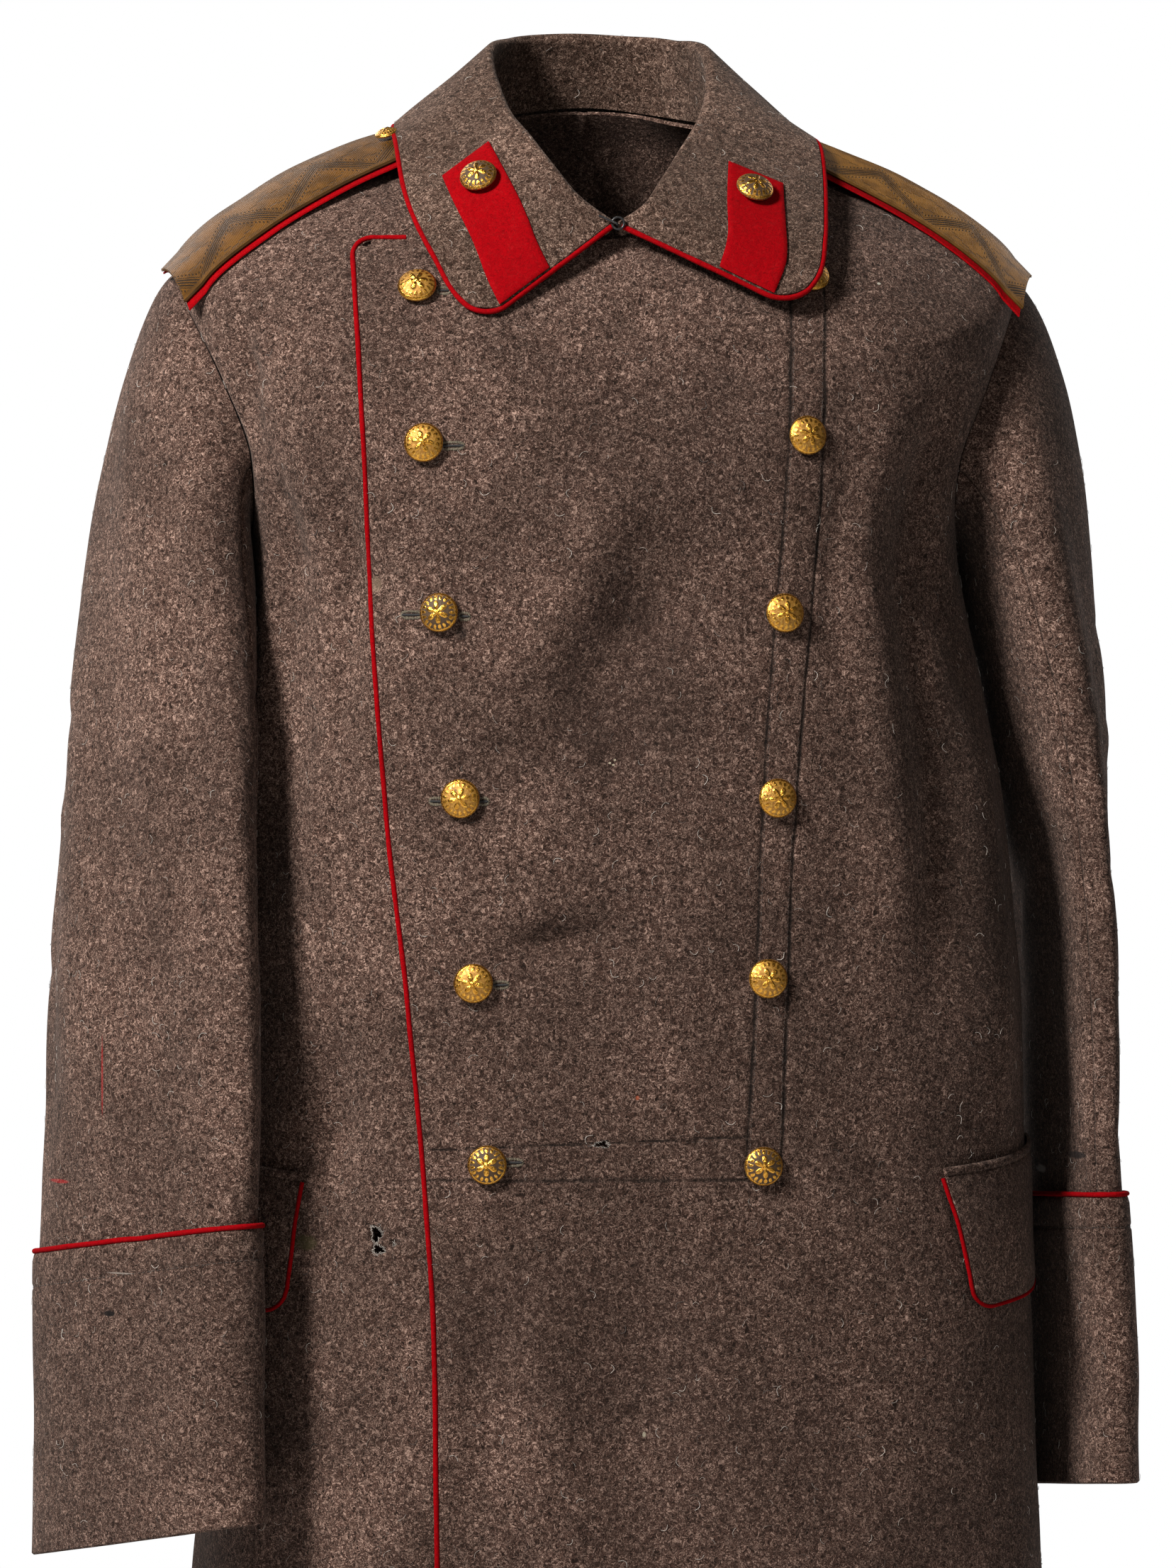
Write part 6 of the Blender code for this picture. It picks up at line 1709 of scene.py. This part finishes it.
def addFlap(word):
    flap = dict(zip(flapColumns, flapRows[word]))
    side, gap = flap["side"], flap["gap"]
    corner = flapShape["corner"]
    toMiddle = np.linspace(0, corner, 12)[:-1]
    place = np.concatenate([toMiddle, np.linspace(corner, 0.88, 30), np.linspace(0.88, 1, 12)[1:]])
    top = flap["frontZ"] + (flap["rearZ"] - flap["frontZ"]) * place
    toEnd = np.minimum(place, 1 - place)
    curve = np.sqrt(1 - np.clip(1 - toEnd / corner, 0, 1) ** 2)
    rise = flapShape["cornerRise"] * (1 - curve)
    down = np.linspace(0, 1, flapShape["downCount"])[:, None]
    z = top - (flap["depth"] - rise) * down
    degrees = flap["frontDeg"] + (flap["rearDeg"] - flap["frontDeg"]) * place + flap["slant"] * (1 - place) * down
    angles = np.radians(degrees) * side
    rows = rowAtZ(angles, z)
    standOff = flapShape["lift"] * ease(down * 2) * (1 - ease((place - flapShape["liftEnd"]) / flapShape["liftEase"]))
    coat = overLift(rows, np.abs(angles)) if side > 0 else 0.0
    inner, normals = bodyPlace(rows, angles, gap + standOff + coat)
    rolled = 0.0006 * (1 - ease(np.minimum(down, 1 - down) * flap["depth"] / 0.003))
    outer = inner + normals * (cloth["body"] - rolled + 0.0 * place)[..., None]
    flapPiece = shell(f"flap_{word}", outer, inner, looks["coat"], rounded={"left", "right", "bottom", "top"})
    lastRow, last = len(down) - 1, len(place) - 1
    free = [(i, 0) for i in range(lastRow)] + [(lastRow, j) for j in range(last + 1)]
    free += [(i, last) for i in reversed(range(lastRow))]
    path = np.array([(inner[spot] + outer[spot]) / 2 for spot in free])
    facing = np.array([normals[spot] for spot in free])
    outward = awayFrom(path, facing, inner[0, last // 2])
    path = path + outward * (pipe["flapRadius"] + cloth["seamGap"])
    piping = addPiping(f"flap_piping_{word}", path, facing, pipe["flapRadius"])
    z = top + (flapShape["weltHeight"] * np.linspace(1, 0, 7) + flapShape["weltGap"])[:, None]
    angles = np.broadcast_to(angles[0], z.shape)
    rows = rowAtZ(angles, z)
    coat = overLift(rows, np.abs(angles)) if side > 0 else 0.0
    inner, normals = bodyPlace(rows, angles, gap + coat)
    swell = np.sin(np.linspace(0, math.pi, 7))[:, None] ** 0.5
    outer = inner + normals * (cloth["body"] * (0.55 + 0.45 * swell) + 0.0 * place)[..., None]
    welt = shell(f"welt_{word}", outer, inner, looks["coat"], rounded={"left", "right"})
    settle(welt, [f"welt_{word}"])
    settle(flapPiece, [f"flap_{word}"])


for word in flapRows:
    addFlap(word)
print("flaps done")

# the black hook and eye at the neck

hook = {"wireRadius": 0.0007, "eyeRadius": 0.0034, "place": (0.0012, -0.1135, -0.066)}
hookPoints = (
    (-0.011, -0.0006, 0.0042),
    (-0.008, -0.0012, 0.003),
    (-0.0055, -0.0018, 0.0016),
    (-0.0028, -0.0024, 0.0004),
    (-0.0008, -0.0022, -0.0006),
    (0.0, -0.0008, -0.0012),
    (-0.0006, 0.001, -0.0012),
)


def addHook():
    centre = np.array(hook["place"])
    turns = np.linspace(0, 2 * math.pi, 49)[:-1]
    ring = centre + hook["eyeRadius"] * np.stack([np.cos(turns), 0.0 * turns, np.sin(turns)], axis=1)
    facing = np.tile((0.0, -1.0, 0.0), (len(ring), 1))
    settle(tube("neck_eye", ring, facing, hook["wireRadius"], looks["wire"], ring=True), ["neck_eye"])
    at = np.linspace(0, len(hookPoints) - 1, 37)
    places = np.arange(len(hookPoints), dtype=float)
    wire = np.stack([smooth(places, np.array(hookPoints)[:, k], at) for k in range(3)], axis=1)
    facing = np.tile((0.0, -0.3, 1.0), (len(wire), 1))
    settle(tube("neck_hook", centre + wire, facing, hook["wireRadius"], looks["wire"]), ["neck_hook"])


addHook()

# threads, buttonholes, moth holes and lint


def newTree(name, sockets):
    tree = bpy.data.node_groups.new(name, "GeometryNodeTree")
    tree.interface.new_socket(name="Geometry", in_out="INPUT", socket_type="NodeSocketGeometry")
    for socket, kind in sockets:
        tree.interface.new_socket(name=socket, in_out="INPUT", socket_type=kind)
    tree.interface.new_socket(name="Geometry", in_out="OUTPUT", socket_type="NodeSocketGeometry")
    return tree, tree.nodes.new("NodeGroupInput").outputs, tree.nodes.new("NodeGroupOutput")


def realized(tree, laid, given, out):
    real = newNode(tree, "GeometryNodeRealizeInstances", {0: laid.outputs[0]})
    done = newNode(tree, "GeometryNodeSetMaterial", {"Geometry": real.outputs[0], "Material": given["Look"]})
    tree.links.new(done.outputs[0], out.inputs[0])
    return tree


# rounded threads along edges, turned by attributes: lay is a thread's length, facing its top
def threadTree():
    tree, given, out = newTree("threadsAlongEdges", [
        ("Spacing", "NodeSocketFloat"), ("Length", "NodeSocketFloat"), ("Thickness", "NodeSocketFloat"),
        ("Unevenness", "NodeSocketFloat"), ("Seed", "NodeSocketInt"), ("Look", "NodeSocketMaterial"),
    ])
    run = newNode(tree, "GeometryNodeMeshToCurve", {0: given["Geometry"]})
    inputs = {"Curve": run.outputs[0], "Length": given["Spacing"]}
    run = newNode(tree, "GeometryNodeResampleCurve", inputs, mode="LENGTH")
    lay, facing = (
        newNode(tree, "GeometryNodeInputNamedAttribute", {"Name": name}, data_type="FLOAT_VECTOR").outputs[0]
        for name in ("lay", "facing"))
    turn = newNode(tree, "FunctionNodeAlignRotationToVector", {"Vector": lay}, axis="X").outputs[0]
    inputs = {"Rotation": turn, "Vector": facing}
    turn = newNode(tree, "FunctionNodeAlignRotationToVector", inputs, axis="Z", pivot_axis="X")
    low = minus(tree, 1.0, given["Unevenness"])
    high = plus(tree, 1.0, given["Unevenness"])
    chance = newNode(tree, "FunctionNodeRandomValue", {2: low, 3: high, "Seed": given["Seed"]}, data_type="FLOAT")
    long = times(tree, given["Length"], chance.outputs[1])
    size = newNode(tree, "ShaderNodeCombineXYZ", {0: long, 1: given["Thickness"], 2: given["Thickness"]}).outputs[0]
    thread = newNode(tree, "GeometryNodeMeshUVSphere", {"Segments": 6, "Rings": 5, "Radius": 0.5}).outputs[0]
    laid = newNode(tree, "GeometryNodeInstanceOnPoints", {
        "Points": run.outputs[0], "Instance": thread, "Rotation": turn.outputs[0], "Scale": size})
    return realized(tree, laid, given, out)


# curled hairs scattered over faces
def hairTree():
    tree, given, out = newTree("hairsOnFaces", [
        ("Density", "NodeSocketFloat"), ("Length", "NodeSocketFloat"), ("Thickness", "NodeSocketFloat"),
        ("Seed", "NodeSocketInt"), ("Look", "NodeSocketMaterial"),
    ])
    spread = newNode(tree, "GeometryNodeDistributePointsOnFaces", {
        "Mesh": given["Geometry"], "Density": given["Density"], "Seed": given["Seed"]})
    curl = newNode(tree, "GeometryNodeCurveQuadraticBezier", {
        "Resolution": 6, "Start": (-0.5, 0.0, 0.0), "Middle": (0.0, 0.55, 0.1), "End": (0.5, -0.15, 0.04)})
    across = newNode(tree, "GeometryNodeCurvePrimitiveCircle", {"Resolution": 3, "Radius": given["Thickness"]})
    hair = newNode(tree, "GeometryNodeCurveToMesh", {"Curve": curl.outputs[0], "Profile Curve": across.outputs[0]})
    chances = []
    for i, (low, high) in enumerate(((0.0, 6.283), (0.45, 1.3), (-1.4, 1.4)), 1):
        inputs = {2: low, 3: high, "Seed": plus(tree, given["Seed"], i)}
        chances.append(newNode(tree, "FunctionNodeRandomValue", inputs, data_type="FLOAT").outputs[1])
    spin = newNode(tree, "ShaderNodeCombineXYZ", {2: chances[0]}).outputs[0]
    spin = newNode(tree, "FunctionNodeEulerToRotation", {0: spin}).outputs[0]
    inputs = {0: spread.outputs["Rotation"], 1: spin}
    turn = newNode(tree, "FunctionNodeRotateRotation", inputs, rotation_space="LOCAL")
    long = times(tree, given["Length"], chances[1])
    bowed = times(tree, long, chances[2])
    size = newNode(tree, "ShaderNodeCombineXYZ", {0: long, 1: bowed, 2: given["Length"]}).outputs[0]
    laid = newNode(tree, "GeometryNodeInstanceOnPoints", {
        "Points": spread.outputs["Points"], "Instance": hair.outputs[0], "Rotation": turn.outputs[0], "Scale": size})
    return realized(tree, laid, given, out)


threadsAlong, hairsOn = threadTree(), hairTree()


# runs a tree on an object once, and leaves its mesh
def grow(piece, tree, inputs):
    modifier = piece.modifiers.new(tree.name, "NODES")
    modifier.node_group = tree
    for socket in tree.interface.items_tree:
        if socket.in_out == "INPUT" and socket.name in inputs:
            modifier[socket.identifier] = inputs[socket.name]
    graph = bpy.context.evaluated_depsgraph_get()
    grown = bpy.data.meshes.new_from_object(piece.evaluated_get(graph))
    piece.modifiers.clear()
    piece.data = grown
    grown.shade_smooth()
    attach(piece, "root")
    return piece


# runs is a list of (points, facing, lay) for lines of threads
def addThreads(name, runs, look, spacing, length, thickness, unevenness=0.2, seed=1):
    points, edges, facings, lays = [], [], [], []
    count = 0
    for path, facing, lay in runs:
        points.append(path)
        facings.append(facing)
        lays.append(lay)
        edges += [(count + i, count + i + 1) for i in range(len(path) - 1)]
        count += len(path)
    mesh = bpy.data.meshes.new(name)
    mesh.from_pydata(np.concatenate(points).tolist(), edges, [])
    for attribute, values in (("facing", facings), ("lay", lays)):
        layer = mesh.attributes.new(attribute, "FLOAT_VECTOR", "POINT")
        layer.data.foreach_set("vector", np.concatenate(values).astype(np.float32).ravel())
    piece = bpy.data.objects.new(name, mesh)
    bpy.context.scene.collection.objects.link(piece)
    return grow(piece, threadsAlong, {
        "Spacing": spacing, "Length": length, "Thickness": thickness, "Unevenness": unevenness, "Seed": seed,
        "Look": looks[look]})


def lineRun(x, z, lift=0.0):
    path, facing = onOverFront(x, z, lift)
    return path, facing, unit(np.gradient(path, axis=0))


stitch = {"spacing": 0.0036, "length": 0.0026, "thickness": 0.00042, "offset": 0.0016}


def seamRuns():
    runs = []
    z = np.arange(-0.125, groove["endZ"], -0.004)
    for name, side in (("inner", 1), ("outer", -1)):
        runs.append(lineRun(np.interp(-z, -seams["z"], seams[name]) + side * stitch["offset"], z, 0.0002))
    x = np.linspace(-0.098, band["upperEnd"], 60)
    runs.append(lineRun(x, bandUpperZ(x) - stitch["offset"], 0.0002))
    x = np.linspace(-0.1, band["lowerEnd"] - 0.02, 70)
    runs.append(lineRun(x, np.full(x.shape, band["lowerZ"] + stitch["offset"]), 0.0002))
    for path, facing in cuffStitches.values():
        path, facing = np.concatenate([path, path[:1]]), np.concatenate([facing, facing[:1]])
        runs.append((path, facing, unit(np.gradient(path, axis=0))))
    return runs


addThreads("seam_stitches", seamRuns(), "seamThread", stitch["spacing"], stitch["length"], stitch["thickness"])

# worked buttonholes as seen from the front: one end, the other end and the height
holeRows = (
    (-0.1015, -0.0885, -0.1945),
    (-0.1218, -0.111, -0.289),
    (-0.0905, -0.085, -0.29),
    (-0.107, -0.0985, -0.3937),
    (-0.0805, -0.075, -0.3937),
    (-0.0705, -0.056, -0.596),
    (-0.073, -0.064, -0.4965),
    (-0.101, -0.094, -0.107),
)
holeShape = {"half": 0.0019, "thread": 0.0019, "spacing": 0.00055, "thickness": 0.00048, "steps": 88}


def addButtonholes():
    runs, slitShadows = [], []
    for startX, endX, z in holeRows:
        turns = np.linspace(0, 2 * math.pi, holeShape["steps"])
        middle, half = (startX + endX) / 2, (endX - startX) / 2
        bend = np.abs(np.cos(turns)) ** 0.55 * np.sign(np.cos(turns))
        x = middle + half * bend
        height = z + holeShape["half"] * np.sin(turns)
        path, facing = onOverFront(x, height, 0.0003)
        out = np.stack([0.35 * np.cos(turns), 0 * turns, np.sin(turns)], axis=-1)
        runs.append((path, facing, unit(out - facing * dot(out, facing))))
        # a row of dark threads along each slit: painted shadow in the buttonhole's opening
        slitShadows.append(lineRun(np.linspace(startX + 0.001, endX - 0.001, 9), np.full(9, z), 0.0003))
    addThreads("buttonholes", runs, "holeThread", holeShape["spacing"], holeShape["thread"],
               holeShape["thickness"], 0.35, 5)
    addThreads("buttonhole_slit_shadows", slitShadows, "slit", 0.0008, 0.0022, 0.0015, 0.1, 6)


addButtonholes()

# moth holes: the piece they go through, their place, half width, half height and how ragged the outline is
mothRows = (
    ("front_right", -0.1372, -0.6372, 0.0029, 0.0046, 0.3, 1.0),
    ("front_right", -0.136, -0.6458, 0.0033, 0.0027, 0.25, 2.0),
    ("front_right", -0.1273, -0.6425, 0.0008, 0.0012, 0.3, 3.0),
    ("front_left", -0.0117, -0.5862, 0.0044, 0.0019, 0.32, 4.0),
)


def mothOutline(x, z, halfWide, halfTall, ragged, seed):
    turns = np.linspace(0, 2 * math.pi, 41)[:-1]
    wave = np.sin(3 * turns + seed) + 0.5 * np.sin(5 * turns + 2 * seed) + 0.4 * np.sin(9 * turns - seed)
    wave = 1 + ragged * wave / 1.5
    return x + halfWide * wave * np.cos(turns), z + halfTall * wave * np.sin(turns), turns


def cutMothHoles():
    runs = []
    for name, x, z, halfWide, halfTall, ragged, seed in mothRows:
        edgeX, edgeZ, turns = mothOutline(x, z, halfWide, halfTall, ragged, seed)
        rows, angles = placeOnFront(edgeX, edgeZ)
        lift = overLift(rows, angles) if name == "front_left" else 0.0
        edge, facing = bodyPlace(rows, angles, lift)
        count = len(edge)
        points = np.concatenate([edge + facing * 0.004, edge - facing * 0.0032])
        around = np.arange(count)
        after = np.roll(around, -1)
        faces = np.stack([around, after, after + count, around + count], axis=1).tolist()
        faces += [around[::-1].tolist(), (around + count).tolist()]
        cutter = newPiece("moth_cutter", points, faces, looks["coat"])
        piece = {"front_left": frontLeft, "front_right": frontRight}[name]
        cut = piece.modifiers.new("moth", "BOOLEAN")
        cut.operation, cut.solver, cut.object = "DIFFERENCE", "EXACT", cutter
        graph = bpy.context.evaluated_depsgraph_get()
        mesh = bpy.data.meshes.new_from_object(piece.evaluated_get(graph))
        piece.modifiers.clear()
        piece.data = mesh
        bpy.data.objects.remove(cutter, do_unlink=True)
        inward = unit(edge.mean(axis=0) - edge)
        slant = unit(inward + 0.7 * np.sin(7 * turns + seed)[:, None] * np.roll(inward, 3, axis=0))
        loop = [np.concatenate([part, part[:1]]) for part in (edge + facing * 0.0002, facing, slant)]
        runs.append(tuple(loop))
    addThreads("frayed_edges", runs, "paleHair", 0.0008, 0.0019, 0.00022, 0.6, 8)


cutMothHoles()
print("stitches and holes done")


def addLint():
    points, faces = [], []
    count = 0
    for outer, normals in woolSkins:
        rows, columns = outer.shape[:2]
        number = np.arange(rows * columns).reshape(rows, columns) + count
        corners = (number[:-1, :-1], number[:-1, 1:], number[1:, 1:], number[1:, :-1])
        quads = np.stack(corners, axis=-1).reshape(-1, 4)
        first = np.cross(outer[0, 1] - outer[0, 0], outer[1, 0] - outer[0, 0]) @ normals[0, 0]
        faces.append(quads if first > 0 else quads[:, ::-1])
        points.append((outer + normals * 0.00015).reshape(-1, 3))
        count += rows * columns
    for name, look, density, length, thickness, seed in (
        ("pale_lint", "paleHair", 1700.0, 0.0046, 0.026, 11), ("dark_lint", "darkHair", 700.0, 0.0045, 0.028, 23)
    ):
        skin = newPiece(name, np.concatenate(points), np.concatenate(faces).tolist(), looks[look], closed=False)
        grow(skin, hairsOn, {"Density": density, "Length": length, "Thickness": thickness, "Seed": seed,
                             "Look": looks[look]})


addLint()
print("lint done")

# studio: a pale floor, soft light from the upper left, and the photo's camera

studio = {"floorZ": -1.56, "floorReach": 3.0, "ambient": 0.075}
view = {"turn": 5.5, "distance": 3.6, "aimU": -0.005, "aimZ": -0.384, "scale": 8675, "tall": 2212, "sensor": 36}
lampRows = (
    ("key", (-1.75, -1.65, 1.35), (0.0, 0.0, -0.45), 0.7, 158.0),
    ("fill", (0.9, -3.6, 0.9), (0.0, 0.0, -0.4), 1.6, 14.0),
    ("rear", (-1.2, 2.2, 1.3), (0.0, 0.0, -0.4), 1.6, 32.0),
    ("rearRight", (1.8, 1.6, 0.6), (0.0, 0.0, -0.5), 1.8, 18.0),
)


def addStudio():
    world = bpy.data.worlds.new("studio")
    bpy.context.scene.world = world
    world.use_nodes = True
    tree = world.node_tree
    tree.nodes.clear()
    seen = newNode(tree, "ShaderNodeBackground", {"Color": (1.0, 1.0, 1.0, 1.0), "Strength": 1.0})
    soft = newNode(tree, "ShaderNodeBackground", {"Color": (1.0, 0.99, 0.98, 1.0), "Strength": studio["ambient"]})
    direct = newNode(tree, "ShaderNodeLightPath").outputs["Is Camera Ray"]
    mixed = newNode(tree, "ShaderNodeMixShader", {0: direct, 1: soft.outputs[0], 2: seen.outputs[0]})
    newNode(tree, "ShaderNodeOutputWorld", {"Surface": mixed.outputs[0]})
    for name, place, aim, size, power in lampRows:
        lamp = bpy.data.lights.new(name, "AREA")
        lamp.shape = "DISK"
        lamp.size, lamp.energy = size, power
        thing = bpy.data.objects.new(name, lamp)
        thing.location = place
        thing.rotation_euler = (Vector(aim) - Vector(place)).to_track_quat("-Z", "Y").to_euler()
        bpy.context.scene.collection.objects.link(thing)
    look, tree, shader, place = newLook("paleFloor")
    shade = rangeOf(tree, noiseOf(tree, place, 3.0), 0.3, 0.7, 0.76, 0.8)
    tree.links.new(mixColours(tree, shade, (0.0, 0.0, 0.0), (1.0, 1.0, 1.0)), shader.inputs["Base Color"])
    shader.inputs["Roughness"].default_value = 0.9
    reach, z = studio["floorReach"], studio["floorZ"]
    corners = np.array([(-reach, -reach, z), (reach, -reach, z), (reach, reach, z), (-reach, reach, z)])
    newPiece("floor", corners, [[0, 1, 2, 3]], look, closed=False)


def addCamera():
    turn = math.radians(view["turn"])
    forward = Vector((math.sin(turn), math.cos(turn), 0.0))
    right = Vector((math.cos(turn), -math.sin(turn), 0.0))
    camera = bpy.data.cameras.new("photoView")
    camera.sensor_fit = "VERTICAL"
    camera.sensor_height = view["sensor"]
    camera.lens = view["sensor"] * view["scale"] / view["tall"]
    thing = bpy.data.objects.new("photoView", camera)
    thing.location = right * view["aimU"] + Vector((0, 0, view["aimZ"])) - forward * view["distance"]
    thing.rotation_euler = forward.to_track_quat("-Z", "Y").to_euler()
    bpy.context.scene.collection.objects.link(thing)
    bpy.context.scene.camera = thing


addStudio()
addCamera()
scene = bpy.context.scene
scene.view_settings.view_transform = "Standard"
scene.view_settings.look = "None"

print("stage done")
